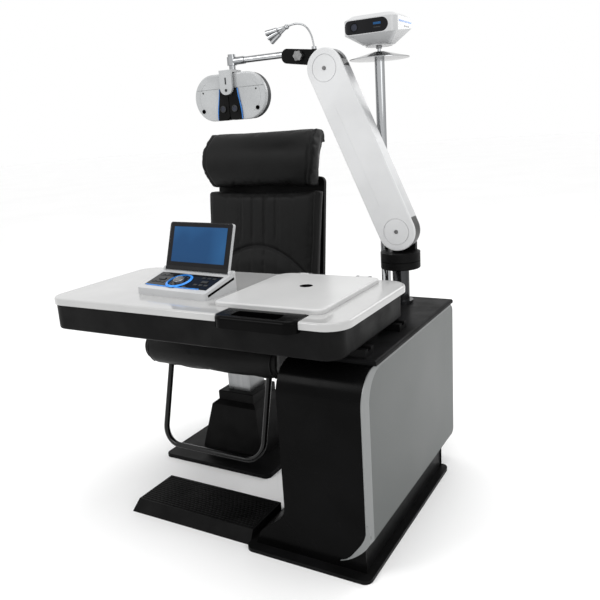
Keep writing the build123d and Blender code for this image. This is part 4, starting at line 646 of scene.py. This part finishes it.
seatPad = {
    "shrink": 7 * mm,
    "channels": (-0.15, 0.0, 0.15), "channelDeep": 5 * mm, "channelWide": 7 * mm,
    "channelStart": (0.12, 0.2), "seamDeep": 4 * mm,  # the channels start this far from the front
    "topNormal": 0.2, "frontNormal": -0.3,
    "rollEnds": (0.8, 1.05), "rollIn": 0.1, "rollInDepth": 0.35,
    "pipingIn": 26 * mm, "pipingRadius": 3.2 * mm, "pipingLift": 0.4,
    # the piping's points on a side: a face of the seat and the distance from it, in depth and level
    "pipingLine": (
        ("back", -10, "under", 75), ("back", -10, "top", -30), ("back", -60, "top", 0),
        ("middle", 0, "top", 10), ("front", 90, "top", 0), ("front", 30, "top", -20),
        ("front", -4, "top", -60), ("front", -6, "under", 60), ("front", 12, "under", 18),
        ("front", 35, "under", 0)),
}


def makeSeat():
    piece = softCopy("seat_cushion", "seatCushion")
    low, high = Vector(seatLow), Vector(seatHigh)
    middle, size = (low + high) / 2, high - low
    shrink = shrinkBy(seatPad["shrink"], size)
    writePoints(piece, [middle + (place - middle) * shrink for place in readPoints(piece)])
    stuff(piece)
    channelFrom, channelTo = (low.y + start for start in seatPad["channelStart"])
    edge = size.x / 2 - seatPad["pipingIn"]
    places = []
    for place, normal in zip(readPoints(piece), readPoints(piece, "normal")):
        across = place.x - middle.x
        pull = seatPad["rollIn"] * ease(abs(across) / (size.x / 2), *seatPad["rollEnds"])
        lift = Vector((  # the roll's ends draw in
            place.x, place.y + (middle.y - place.y) * pull * seatPad["rollInDepth"],
            place.z + (middle.z - place.z) * pull))
        if normal.z > seatPad["topNormal"] or normal.y < seatPad["frontNormal"]:
            deep = sum(groove(across - line, seatPad["channelWide"]) for line in seatPad["channels"])
            lift -= normal * deep * seatPad["channelDeep"] * ease(place.y, channelFrom, channelTo)
            lift -= normal * seatPad["seamDeep"] * groove(abs(across) - edge, seatPad["channelWide"])
        places.append(lift)
    writePoints(piece, places)
    dress(piece, "leather", "seat")
    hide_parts("seat_cushion")
    faces = {"front": low.y, "middle": middle.y, "back": high.y, "under": low.z, "top": high.z}
    for side, name in ((-1, "seatPipingLeft"), (1, "seatPipingRight")):
        line = [
            Vector((middle.x + side * edge, faces[near] + depth * mm, faces[over] + level * mm))
            for near, depth, over, level in seatPad["pipingLine"]]
        laid = layOn(piece, line, seatPad["pipingRadius"] * seatPad["pipingLift"])
        dress(tube(name, laid, seatPad["pipingRadius"]), "pipingLeather", "seat")


backPad = {
    "shrink": 6 * mm, "lowIn": 0.045, "lowInFrom": 0.6, "frontNormal": (0.1, 0.7),
    "lines": (-0.083, -0.028, 0.028, 0.083), "lineDeep": 3 * mm, "lineWide": 6 * mm,
    "lineLow": (0.35, 0.39), "lineHigh": (0.59, 0.52),  # the lines fade out between these levels
    "archTop": 0.345, "archBend": 2.2, "archDeep": 7 * mm, "archWide": 8 * mm, "archEnds": (0.25, 0.205),
    "lumbarOut": 9 * mm, "lumbarDrop": 0.07, "lumbarSides": (0.235, 0.1), "lumbarFoot": 0.25,
    "seamHigh": 0.262, "seamLow": 0.243, "seamBend": (-0.1, 0.75), "seamDeep": 4 * mm, "seamWide": 6 * mm,
    "pipingSteps": 13, "pipingEnd": 0.03, "pipingRadius": 2.6 * mm, "pipingLift": 1 * mm,
}


def backSeam(up):
    # half distance between the side seams at a share of the height
    widen = ease(up, *backPad["seamBend"])
    return backPad["seamLow"] + (backPad["seamHigh"] - backPad["seamLow"]) * widen


def backRelief(place, up):
    # depth of the back's lines, arch and seams at a point, less the swell of its lumbar pad
    fade = ease(place.z, *backPad["lineLow"]) * ease(place.z, *backPad["lineHigh"])
    deep = backPad["lineDeep"] * fade * sum(
        groove(place.x - line, backPad["lineWide"]) for line in backPad["lines"])
    arch = backPad["archTop"] - backPad["archBend"] * place.x ** 2
    inside = ease(abs(place.x), *backPad["archEnds"])
    deep += backPad["archDeep"] * groove(place.z - arch, backPad["archWide"]) * inside
    deep += backPad["seamDeep"] * groove(abs(place.x) - backSeam(up), backPad["seamWide"])
    swell = backPad["lumbarOut"] * ease(arch - place.z, 0.0, backPad["lumbarDrop"])
    swell *= ease(abs(place.x), *backPad["lumbarSides"]) * ease(up, 0.0, backPad["lumbarFoot"])
    return deep - swell


def makeBack():
    piece = softCopy("back_cushion", "backCushion")
    local = backTurn.inverted()
    turn = local.to_3x3()
    points = [local @ place for place in readPoints(piece)]
    low, high = pointBox(points)
    middle, size = (low + high) / 2, high - low
    shrink = shrinkBy(backPad["shrink"], size)
    places = []
    for place in points:
        place = middle + (place - middle) * shrink
        place.x *= 1 - backPad["lowIn"] * ease((place.z - low.z) / size.z, backPad["lowInFrom"], 0.0)
        places.append(backTurn @ place)
    writePoints(piece, places)
    stuff(piece)
    places = []
    for place, normal in zip(readPoints(piece), readPoints(piece, "normal")):
        place = local @ place
        front = ease(-(turn @ normal).y, *backPad["frontNormal"])
        if front > 0:
            place.y += front * backRelief(place, (place.z - low.z) / size.z)
        places.append(backTurn @ place)
    writePoints(piece, places)
    dress(piece, "leather", "back")
    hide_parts("back_cushion")
    for side, name in ((-1, "backPipingLeft"), (1, "backPipingRight")):

        def seam(share):
            up = backPad["pipingEnd"] + (1 - 2 * backPad["pipingEnd"]) * share
            return backTurn @ Vector((side * backSeam(up), low.y, low.z + size.z * up))

        laid = layOn(piece, sample(backPad["pipingSteps"], seam), backPad["pipingLift"])
        dress(tube(name, laid, backPad["pipingRadius"]), "pipingLeather", "back")


headPad = {
    "shrink": 6 * mm, "topIn": 0.05, "topInFrom": 0.6, "lowIn": 0.09, "lowInFrom": 0.4,
    "seamIn": 28 * mm, "seamDeep": 4 * mm, "seamWide": 5 * mm,
}


def headDrawnIn(up):
    # share of the headrest's width that is left at a share of its height
    topIn = headPad["topIn"] * ease(up, headPad["topInFrom"], 1.0)
    return 1 - topIn - headPad["lowIn"] * ease(up, headPad["lowInFrom"], 0.0)


def makeHeadrest():
    piece = softCopy("headrest", "headrestPillow")
    local = backTurn.inverted()
    points = [local @ place for place in readPoints(piece)]
    low, high = pointBox(points)
    middle, size = (low + high) / 2, high - low
    shrink = shrinkBy(headPad["shrink"], size)
    shrink.y = 1.0  # the headrest keeps its depth
    places = []
    for place in points:
        drawn = headDrawnIn((place.z - low.z) / size.z)
        place = middle + (place - middle) * shrink
        place.x *= drawn
        places.append(backTurn @ place)
    writePoints(piece, places)
    stuff(piece)
    places = []
    for place, normal in zip(readPoints(piece), readPoints(piece, "normal")):
        flat = local @ place
        edge = size.x / 2 * headDrawnIn((flat.z - low.z) / size.z) - headPad["seamIn"]
        seam = headPad["seamDeep"] * groove(abs(flat.x) - edge, headPad["seamWide"])
        places.append(place - normal * seam)
    writePoints(piece, places)
    dress(piece, "leather", "head")
    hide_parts("headrest")


makeSeat()
makeBack()
makeHeadrest()
print("cushions stuffed")


# Console and screen

consoleSpot = {
    "corner": (-647 * mm, -237 * mm, 758 * mm), "turn": math.radians(-5),
    "width": 300 * mm, "depth": 158 * mm, "frontHeight": 22 * mm, "backHeight": 62 * mm,
    "dialAcross": 138 * mm, "dialDepth": 61 * mm, "padTop": 1.25 * mm,
}
consoleTurn = Matrix.Translation(consoleSpot["corner"]) @ Matrix.Rotation(consoleSpot["turn"], 4, "Z")
consoleRise = consoleSpot["backHeight"] - consoleSpot["frontHeight"]
consoleTilt = math.atan2(consoleRise, consoleSpot["depth"])


def onSlope(across, depth, above):
    height = consoleSpot["frontHeight"] + consoleRise * depth / consoleSpot["depth"]
    slope = Matrix.Translation((across, depth, height)) @ Matrix.Rotation(consoleTilt, 4, "X")
    return consoleTurn @ slope @ Matrix.Translation((0, 0, above))


def overDial(above):
    return onSlope(consoleSpot["dialAcross"], consoleSpot["dialDepth"], above)


padKeys = {
    "key": {"size": (15 * mm, 8.5 * mm, 1.6 * mm), "edge": 0.6 * mm, "dish": 0.3 * mm, "rim": 1.4 * mm},
    "columns": ((34, 54, 74), (218, 240, 262)), "rows": (92, 48), "keySunk": 0.4 * mm,
    "dot": {"radius": 4 * mm, "height": 1.2 * mm, "edge": 0.35 * mm, "sides": 16},
    "dots": 12, "dotCircle": 30 * mm,
}


def makeKeys():
    middle = consoleSpot["padTop"] + padKeys["key"]["size"][2] / 2 - padKeys["keySunk"]
    keys = []
    for columns in padKeys["columns"]:
        for depth in padKeys["rows"]:
            for across in columns:
                key = plate("key", **padKeys["key"])
                keys.append(settle(key, onSlope(across * mm, depth * mm, middle)))
    for number in range(padKeys["dots"]):
        turn = math.tau * number / padKeys["dots"]
        spot = Vector((math.cos(turn), math.sin(turn), 0)) * padKeys["dotCircle"]
        dot = disc("key", **padKeys["dot"])
        keys.append(settle(dot, overDial(consoleSpot["padTop"]) @ Matrix.Translation(spot)))
    dress(join(keys, "padKeys"), "greyPlastic", "table")


dialTrim = {
    "ring": {"radius": 46 * mm, "height": 0.8 * mm, "edge": 0.3 * mm, "sides": 96},
    "ringWide": 8 * mm, "ringAbove": 1 * mm,
    "cap": {"radius": 15.5 * mm, "height": 1.6 * mm, "edge": 0.6 * mm, "dish": 0.7 * mm, "rim": 3 * mm},
    "dialTop": 9.3 * mm,
    "lightHalf": 116 * mm, "lightDepth": 23.5 * mm, "lightBow": 2.5 * mm, "lightAbove": 0.4 * mm,
    "lightRadius": 1.5 * mm, "lightSteps": 8,
}


def makeDialTrim():
    ring = disc("dialGlow", **dialTrim["ring"])
    selectFaces(ring, lambda face: abs(face.normal.z) > upNormal)
    bpy.ops.mesh.inset(thickness=dialTrim["ringWide"], depth=0)
    bpy.ops.mesh.bridge_edge_loops()
    leaveEdit()
    place = overDial(consoleSpot["padTop"] + dialTrim["ringAbove"])
    fit(ring, place, "blueGlow", "table")

    def edge(share):
        out = 2 * share - 1
        spot = onSlope(
            consoleSpot["dialAcross"] + out * dialTrim["lightHalf"],
            dialTrim["lightDepth"] - dialTrim["lightBow"] * (1 - out * out),
            consoleSpot["padTop"] + dialTrim["lightAbove"])
        return spot.translation.copy()

    light = tube("padEdgeLight", sample(dialTrim["lightSteps"], edge), dialTrim["lightRadius"])
    dress(light, "blueGlow", "table")
    place = overDial(consoleSpot["padTop"] + dialTrim["dialTop"])
    fit(disc("dialCap", **dialTrim["cap"]), place, "silverKnob", "dial")


sideStrip = {
    "size": (2 * mm, 132 * mm, 8 * mm), "edge": 0.9 * mm, "sunk": 0.2 * mm,
    "depth": 78 * mm, "level": 27 * mm, "tiltShare": 0.9,
}


def makeConsoleStrip():
    # dark trim let into the right side of the wedge
    strip = block("consoleSideTrim", sideStrip["size"])
    addBevel(strip, sideStrip["edge"])
    place = (consoleSpot["width"] - sideStrip["sunk"], sideStrip["depth"], sideStrip["level"])
    tilt = Matrix.Rotation(consoleTilt * sideStrip["tiltShare"], 4, "X")
    fit(strip, consoleTurn @ Matrix.Translation(place) @ tilt, "blackGloss", "table")


screenSpot = {
    "tilt": math.radians(-18), "axisDepth": 134 * mm, "axisHeight": 59.92 * mm,
    "picture": {
        "size": (234 * mm, 119 * mm, 0.8 * mm), "edge": 0.2 * mm, "dish": 0.15 * mm, "rim": 1.5 * mm},
    "front": -6.2 * mm, "middle": 83 * mm,
}


def makePicture():
    picture = plate("screenPicture", **screenSpot["picture"])
    axis = (consoleSpot["width"] / 2, screenSpot["axisDepth"], screenSpot["axisHeight"])
    hinge = Matrix.Translation(axis) @ Matrix.Rotation(screenSpot["tilt"], 4, "X")
    stand = Matrix.Translation((0, screenSpot["front"], screenSpot["middle"]))
    place = consoleTurn @ hinge @ stand @ Matrix.Rotation(math.pi / 2, 4, "X")
    fit(picture, place, "display", "screen")


makeKeys()
makeDialTrim()
makeConsoleStrip()
makePicture()
print("console dressed")


# Phoropter

halves = {
    "left": {"side": -1, "body": "half_left"},
    "right": {"side": 1, "body": "half_right"},
}
sight = {
    "middle": -613 * mm, "pitch": 26 * mm, "level": 1338 * mm, "front": 329 * mm,
    "rim": {"radius": 12.5 * mm, "height": 3 * mm, "edge": 0.7 * mm, "dish": 2 * mm, "rim": 3.2 * mm},
    "rimSunk": 1 * mm,
    "glass": {"radius": 9 * mm, "height": 1.2 * mm, "edge": 0.5 * mm, "dish": 0.4 * mm, "rim": 1 * mm},
    "glassOut": 0.1 * mm,
    "window": {"radius": 7.6 * mm, "height": 2.6 * mm, "edge": 0.8 * mm, "dish": 1 * mm, "rim": 2.4 * mm},
    "windowAcross": 123 * mm, "windowLevel": 1335 * mm, "windowOut": 0.4 * mm, "coverFront": 338 * mm,
}
edgeLine = {
    "top": 1410 * mm, "low": 1299 * mm, "topOut": 38 * mm, "lowOut": 53 * mm, "aside": 1.6 * mm,
    "front": 334.5 * mm, "bend": (-0.1, 0.9), "steps": 9, "radius": 2.3 * mm,
}
coverRidge = {
    "across": 76 * mm, "level": 1381 * mm, "circle": 62 * mm, "halfTurn": 62, "steps": 14,
    "radius": 0.7 * mm,
}


def makeSight(name, side, body):
    across = sight["middle"] + side * sight["pitch"]
    place = toFront(across, sight["front"] + sight["rimSunk"], sight["level"])
    fit(disc(f"sightRim{name}", **sight["rim"]), place, "greyPlastic", body)
    place = toFront(across, sight["front"] - sight["glassOut"], sight["level"])
    fit(disc(f"sightGlass{name}", **sight["glass"]), place, "lensGlass", body)
    across = sight["middle"] + side * sight["windowAcross"]
    place = toFront(across, sight["coverFront"] - sight["windowOut"], sight["windowLevel"])
    fit(disc(f"sideWindow{name}", **sight["window"]), place, "blackGloss", body)


def makeCoverTrim(name, side, body):
    # blue line down the cover's inner edge, and one soft ridge as its raised outline
    def edge(share):
        widen = ease(share, *edgeLine["bend"])
        out = edgeLine["topOut"] + (edgeLine["lowOut"] - edgeLine["topOut"]) * widen
        level = edgeLine["top"] + (edgeLine["low"] - edgeLine["top"]) * share
        return (sight["middle"] + side * (out + edgeLine["aside"]), edgeLine["front"], level)

    def ridge(share):
        turn = math.radians(coverRidge["halfTurn"] * (2 * share - 1))
        out = coverRidge["across"] + coverRidge["circle"] * math.cos(turn)
        level = coverRidge["level"] + coverRidge["circle"] * math.sin(turn)
        return (sight["middle"] + side * out, sight["coverFront"], level)

    line = tube(f"edgeLine{name}", sample(edgeLine["steps"], edge), edgeLine["radius"])
    dress(line, "blueTrim", body)
    line = tube(f"coverRidge{name}", sample(coverRidge["steps"], ridge), coverRidge["radius"])
    dress(line, "phoropterWhite", body)


bracketTrim = {
    "slot": {"size": (6 * mm, 24 * mm, 1.4 * mm), "edge": 0.5 * mm, "dish": 0.6 * mm, "rim": 1.2 * mm},
    "slotLevel": 1437 * mm,
    "bubble": {"radius": 5.5 * mm, "height": 1.4 * mm, "edge": 0.5 * mm, "dish": 0.5 * mm, "rim": 1.4 * mm},
    "bubbleLevel": 1404 * mm, "bubbleSunk": 0.4 * mm,
}


def makeBracketTrim():
    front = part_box("phoropter_bracket")[0][1]
    place = toFront(sight["middle"], front, bracketTrim["slotLevel"])
    fit(plate("bracketSlot", **bracketTrim["slot"]), place, "greyPlastic", "carrier")
    place = toFront(sight["middle"], front + bracketTrim["bubbleSunk"], bracketTrim["bubbleLevel"])
    fit(disc("bracketLevel", **bracketTrim["bubble"]), place, "greyPlastic", "carrier")


for name, half in halves.items():
    makeSight(name.title(), half["side"], half["body"])
    makeCoverTrim(name.title(), half["side"], half["body"])
makeBracketTrim()
print("phoropter dressed")


# Arm

pivotScrew = {
    "head": {"radius": 6.4 * mm, "height": 2.6 * mm, "edge": 0.6 * mm, "dish": 0.4 * mm, "rim": 2.6 * mm},
    "socket": 3.5 * mm, "socketDeep": 1.4 * mm, "out": 0.2 * mm,
}
armCrease = {
    "aside": 20 * mm, "start": 0.17, "length": 0.62, "steps": 5, "sunk": 0.15 * mm, "radius": 0.8 * mm,
}


def makePivotScrews():
    for name in ("low", "high"):
        across, level = pivots[name]
        screw = disc(f"pivotScrew{name.title()}", **pivotScrew["head"])
        selectFaces(screw, lambda face: (
            face.normal.z > upNormal and face.center.length < pivotScrew["socket"]))
        bpy.ops.mesh.extrude_region_move(
            TRANSFORM_OT_translate={"value": (0, 0, -pivotScrew["socketDeep"])})
        leaveEdit()
        place = toFront(across, pivots["front"] - pivotScrew["out"], level)
        fit(screw, place, "screwSteel", "arm")


def makeArmLine():
    # faint lengthwise crease in the white face
    low, high = (Vector((pivots[name][0], 0, pivots[name][1])) for name in ("low", "high"))
    run = high - low
    side = Vector((-run.z, 0, run.x)).normalized() * armCrease["aside"]

    def crease(share):
        place = low + run * (armCrease["start"] + armCrease["length"] * share) + side
        return (place.x, pivots["front"] + armCrease["sunk"], place.z)

    line = tube("armCrease", sample(armCrease["steps"], crease), armCrease["radius"])
    dress(line, "whitePaint", "arm")


makePivotScrews()
makeArmLine()
print("arm dressed")


# Lamp: a ribbed gooseneck with three small spotlights

lampSpot = {
    "base": (-262 * mm, 374 * mm), "seat": 1513.9 * mm, "start": 5 * mm, "reach": 150 * mm, "rise": 88 * mm,
    "shape": ((0, 0), (-0.02, 0.3), (-0.09, 0.64), (-0.22, 0.9), (-0.4, 1.0), (-0.58, 0.985), (-0.7, 0.93)),
    "stem": 2.7 * mm, "rib": {"radius": 3.5 * mm, "height": 1.5 * mm, "edge": 0.5 * mm, "sides": 20},
    "ribs": 44, "smoothness": 24,
    "foot": {"radius": 9 * mm, "height": 10 * mm, "edge": 1.2 * mm, "dish": 2 * mm, "rim": 4 * mm},
    "footUp": 0.3 * mm,
    "knuckle": 9 * mm, "knuckleWay": (1, 0, 0.3), "knuckleNormal": 0.85, "knuckleFlat": 1 * mm,
}
spotlight = {
    "length": 84 * mm, "tilts": (9, 20, 31), "spreads": (-9 * mm, 0, 9 * mm),
    "neckLong": 0.5, "headStart": 0.45, "headLong": 0.55, "flareFrom": 0.5,  # shares of the length
    "neck": {"radius": 5.2 * mm, "edge": 1 * mm, "sides": 24},
    "head": {"radius": 8 * mm, "edge": 0.8 * mm, "dish": 12 * mm, "rim": 1.2 * mm, "sides": 32},
    "flare": 1.16,
    "lens": {
        "radius": 5.6 * mm, "height": 2 * mm, "edge": 0.7 * mm, "dish": 0.5 * mm, "rim": 1 * mm,
        "sides": 24},
    "lensIn": 11 * mm,
}


def followStem(points):
    # places close together along the stem, as a base for the ribs
    rail = bpy.data.curves.new("lampRail", "CURVE")
    leadThrough(rail, points)
    rail.resolution_u = lampSpot["smoothness"]
    railObject = bpy.data.objects.new("lampRail", rail)
    line = [Vector(point.co) for point in bpy.data.meshes.new_from_object(railObject).vertices]
    bpy.data.objects.remove(railObject)
    return line


def makeRibs(line):
    lengths = [0.0]
    for first, second in zip(line, line[1:]):
        lengths.append(lengths[-1] + (second - first).length)
    pattern = disc("lampRib", **lampSpot["rib"])
    ribs = []
    for number in range(lampSpot["ribs"]):
        want = lengths[-1] * (number + 0.5) / lampSpot["ribs"]
        index = max(spot for spot, value in enumerate(lengths[:-1]) if value <= want)
        share = (want - lengths[index]) / (lengths[index + 1] - lengths[index])
        place = line[index].lerp(line[index + 1], share)
        rib = pattern.copy()
        rib.data = pattern.data.copy()
        bpy.context.collection.objects.link(rib)
        ribs.append(settle(rib, facing(line[index + 1] - line[index], place)))
    bpy.data.objects.remove(pattern)
    return ribs


def makeKnuckle(nose):
    deselectAll()
    bpy.ops.mesh.primitive_uv_sphere_add(segments=24, ring_count=16, radius=lampSpot["knuckle"])
    knuckle = named("lampKnuckle")
    selectFaces(knuckle, lambda face: face.normal.z > lampSpot["knuckleNormal"])
    bpy.ops.mesh.inset(thickness=lampSpot["knuckleFlat"], depth=-lampSpot["knuckleFlat"])
    leaveEdit()
    return settle(knuckle, facing(lampSpot["knuckleWay"], nose))


def makeSpotlights(nose):
    # the necks and heads, and apart from them the lenses
    long = spotlight["length"]
    metal, lenses = [], []
    for tilt, shift in zip(spotlight["tilts"], spotlight["spreads"]):
        turn = math.radians(tilt)
        way = Vector((-math.cos(turn), shift / long, -math.sin(turn))).normalized()
        neck = disc("lampNeck", height=long * spotlight["neckLong"], **spotlight["neck"])
        metal.append(settle(neck, facing(way, nose)))
        head = disc("lampHead", height=long * spotlight["headLong"], **spotlight["head"])
        selectFaces(head, lambda face: face.center.z > long * spotlight["flareFrom"])
        bpy.ops.transform.resize(value=(spotlight["flare"], spotlight["flare"], 1))
        leaveEdit()
        metal.append(settle(head, facing(way, nose + way * long * spotlight["headStart"])))
        lens = disc("lampLens", **spotlight["lens"])
        lenses.append(settle(lens, facing(way, nose + way * (long - spotlight["lensIn"]))))
    return metal, lenses


def makeLamp():
    x, y = lampSpot["base"]
    start = lampSpot["seat"] + lampSpot["start"]
    points = [
        Vector((x + out * lampSpot["reach"], y, start + up * lampSpot["rise"]))
        for out, up in lampSpot["shape"]]
    stem = tube("lampStem", points, lampSpot["stem"])
    ribs = makeRibs(followStem(points))
    foot = disc("lampFoot", **lampSpot["foot"])
    settle(foot, Matrix.Translation((x, y, lampSpot["seat"] + lampSpot["footUp"])))
    knuckle = makeKnuckle(points[-1])
    metal, lenses = makeSpotlights(points[-1])
    lamp = join([stem, *ribs, foot, knuckle, *metal], "gooseneckLamp")
    dress(lamp, "chrome", "lamp")
    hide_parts("gooseneck_lamp")
    dress(join(lenses, "lampLenses"), "lensGlass", "lamp")


makeLamp()
print("lamp made")


# Projector

projectorSpot = {
    "middle": -45 * mm, "front": 343 * mm, "level": 1562 * mm, "right": 50 * mm,
    "barrel": {"radius": 15 * mm, "height": 4 * mm, "edge": 1 * mm, "dish": 3 * mm, "rim": 3 * mm},
    "lens": {"radius": 11 * mm, "height": 2.4 * mm, "edge": 1.1 * mm, "dish": 0.5 * mm, "rim": 2 * mm},
    "lensAcross": -48 * mm, "barrelSunk": 3.4 * mm, "lensSunk": 2.6 * mm,
    "sign": {"size": (26 * mm, 7 * mm, 1 * mm), "edge": 0.3 * mm, "dish": 0.2 * mm, "rim": 0.8 * mm},
    "slot": {"size": (24 * mm, 3 * mm, 1 * mm), "edge": 0.3 * mm, "dish": 0.5 * mm, "rim": 0.5 * mm},
    "signAcross": 34 * mm, "signUp": 5 * mm, "slotDown": 7 * mm, "signOut": 0.1 * mm,
    "stripe": {"size": (116 * mm, 5 * mm, 1 * mm), "edge": 0.3 * mm, "dish": 0.2 * mm, "rim": 0.6 * mm},
    "stripeDepth": 442 * mm, "stripeLevel": 1572 * mm,
    "vent": {"size": (9 * mm, 3.4 * mm, 1.2 * mm), "edge": 0.4 * mm, "dish": 0.7 * mm, "rim": 0.7 * mm},
    "ventDepths": (436 * mm, 452 * mm, 468 * mm), "ventLevel": 1558 * mm,
}


def makeProjectorFront():
    spot = projectorSpot
    across = spot["middle"] + spot["lensAcross"]
    place = toFront(across, spot["front"] + spot["barrelSunk"], spot["level"])
    fit(disc("projectorBarrel", **spot["barrel"]), place, "blackPlastic", "projector")
    place = toFront(across, spot["front"] + spot["lensSunk"], spot["level"])
    fit(disc("projectorLens", **spot["lens"]), place, "lensGlass", "projector")
    across = spot["middle"] + spot["signAcross"]
    place = toFront(across, spot["front"] - spot["signOut"], spot["level"] + spot["signUp"])
    fit(plate("projectorDisplay", **spot["sign"]), place, "display", "projector")
    place = toFront(across, spot["front"] - spot["signOut"], spot["level"] - spot["slotDown"])
    fit(plate("projectorSlot", **spot["slot"]), place, "greyPlastic", "projector")


def toRight(depth, level):
    # matrix that turns a piece's top to the right and moves it onto the projector's side
    turn = Matrix.Rotation(math.pi / 2, 4, "Z") @ Matrix.Rotation(math.pi / 2, 4, "X")
    return Matrix.Translation((projectorSpot["right"], depth, level)) @ turn


def makeProjectorSide():
    spot = projectorSpot
    place = toRight(spot["stripeDepth"], spot["stripeLevel"])
    fit(plate("projectorStripe", **spot["stripe"]), place, "blueTrim", "projector")
    vents = [
        settle(plate("vent", **spot["vent"]), toRight(depth, spot["ventLevel"]))
        for depth in spot["ventDepths"]]
    dress(join(vents, "projectorVents"), "blackPlastic", "projector")


makeProjectorFront()
makeProjectorSide()
print("projector dressed")


# Floor, light and camera

studio = {
    "floorWidth": 80.0, "floorTone": (0.985, 0.985, 0.985), "floorLighter": 1.02, "floorCloud": 0.8,
    "floorRough": 0.6, "floorSpecular": 0.2, "world": (1.0, 1.0, 1.0), "worldPower": 1.0,
    "lamps": (
        {"name": "key", "place": (-2.2, -2.8, 3.2), "aim": (-0.3, 0.1, 0.9), "size": 1.6, "power": 42},
        {"name": "fill", "place": (3.2, -1.6, 2.2), "aim": (0.0, 0.1, 0.8), "size": 1.8, "power": 16},
        {"name": "top", "place": (-0.3, 0.4, 4.2), "aim": (-0.3, 0.2, 0.6), "size": 2.0, "power": 34},
        {"name": "rim", "place": (1.0, 3.4, 2.6), "aim": (-0.3, 0.3, 0.9), "size": 1.6, "power": 20},
    ),
}


def makeFloor():
    deselectAll()
    bpy.ops.mesh.primitive_plane_add(size=studio["floorWidth"])
    floor = named("floor")
    finish, tree, shader, place, _ = startFinish("pale floor")
    tone = studio["floorTone"]
    look = {"dark": tone, "light": tuple(value * studio["floorLighter"] for value in tone)}
    colour = cloudColour(tree, noise(tree, place, studio["floorCloud"]), look)
    setInputs(tree, shader, {
        "Base Color": colour, "Roughness": studio["floorRough"],
        "Specular IOR Level": studio["floorSpecular"]})
    floor.data.materials.append(finish)


def makeLights():
    world = bpy.data.worlds.new("studio")
    world.use_nodes = True
    setInputs(world.node_tree, world.node_tree.nodes["Background"], {
        "Color": (*studio["world"], 1), "Strength": studio["worldPower"]})
    bpy.context.scene.world = world
    for lamp in studio["lamps"]:
        deselectAll()
        bpy.ops.object.light_add(type="AREA", location=lamp["place"])
        light = bpy.context.object
        light.name = f"{lamp['name']}Light"
        light.data.energy = lamp["power"]
        light.data.size = lamp["size"]
        aim = Vector(lamp["aim"]) - Vector(lamp["place"])
        light.rotation_euler = aim.to_track_quat("-Z", "Y").to_euler()


photoView = {
    "place": (0.8984, -1.8397, 1.2500), "lens": 40.39, "sensor": 36, "farthest": 60,
    "right": (0.8712947787, 0.4867472471, -0.0626300721),
    "down": (0.0675089699, -0.2452806394, -0.9670987266),
    "forward": (-0.4860945870, 0.8383999793, -0.2465715457),
}


def makeCamera():
    camera = bpy.data.cameras.new("photoCamera")
    camera.lens = photoView["lens"]
    camera.sensor_width = photoView["sensor"]
    camera.clip_end = photoView["farthest"]
    view = bpy.data.objects.new("photoCamera", camera)
    bpy.context.scene.collection.objects.link(view)
    right, down, forward = (Vector(photoView[key]) for key in ("right", "down", "forward"))
    turn = Matrix((right, -down, -forward)).transposed().to_4x4()
    view.matrix_world = Matrix.Translation(photoView["place"]) @ turn
    bpy.context.scene.camera = view


makeFloor()
makeLights()
makeCamera()
bpy.context.scene.view_settings.view_transform = "Standard"
print("studio lit")
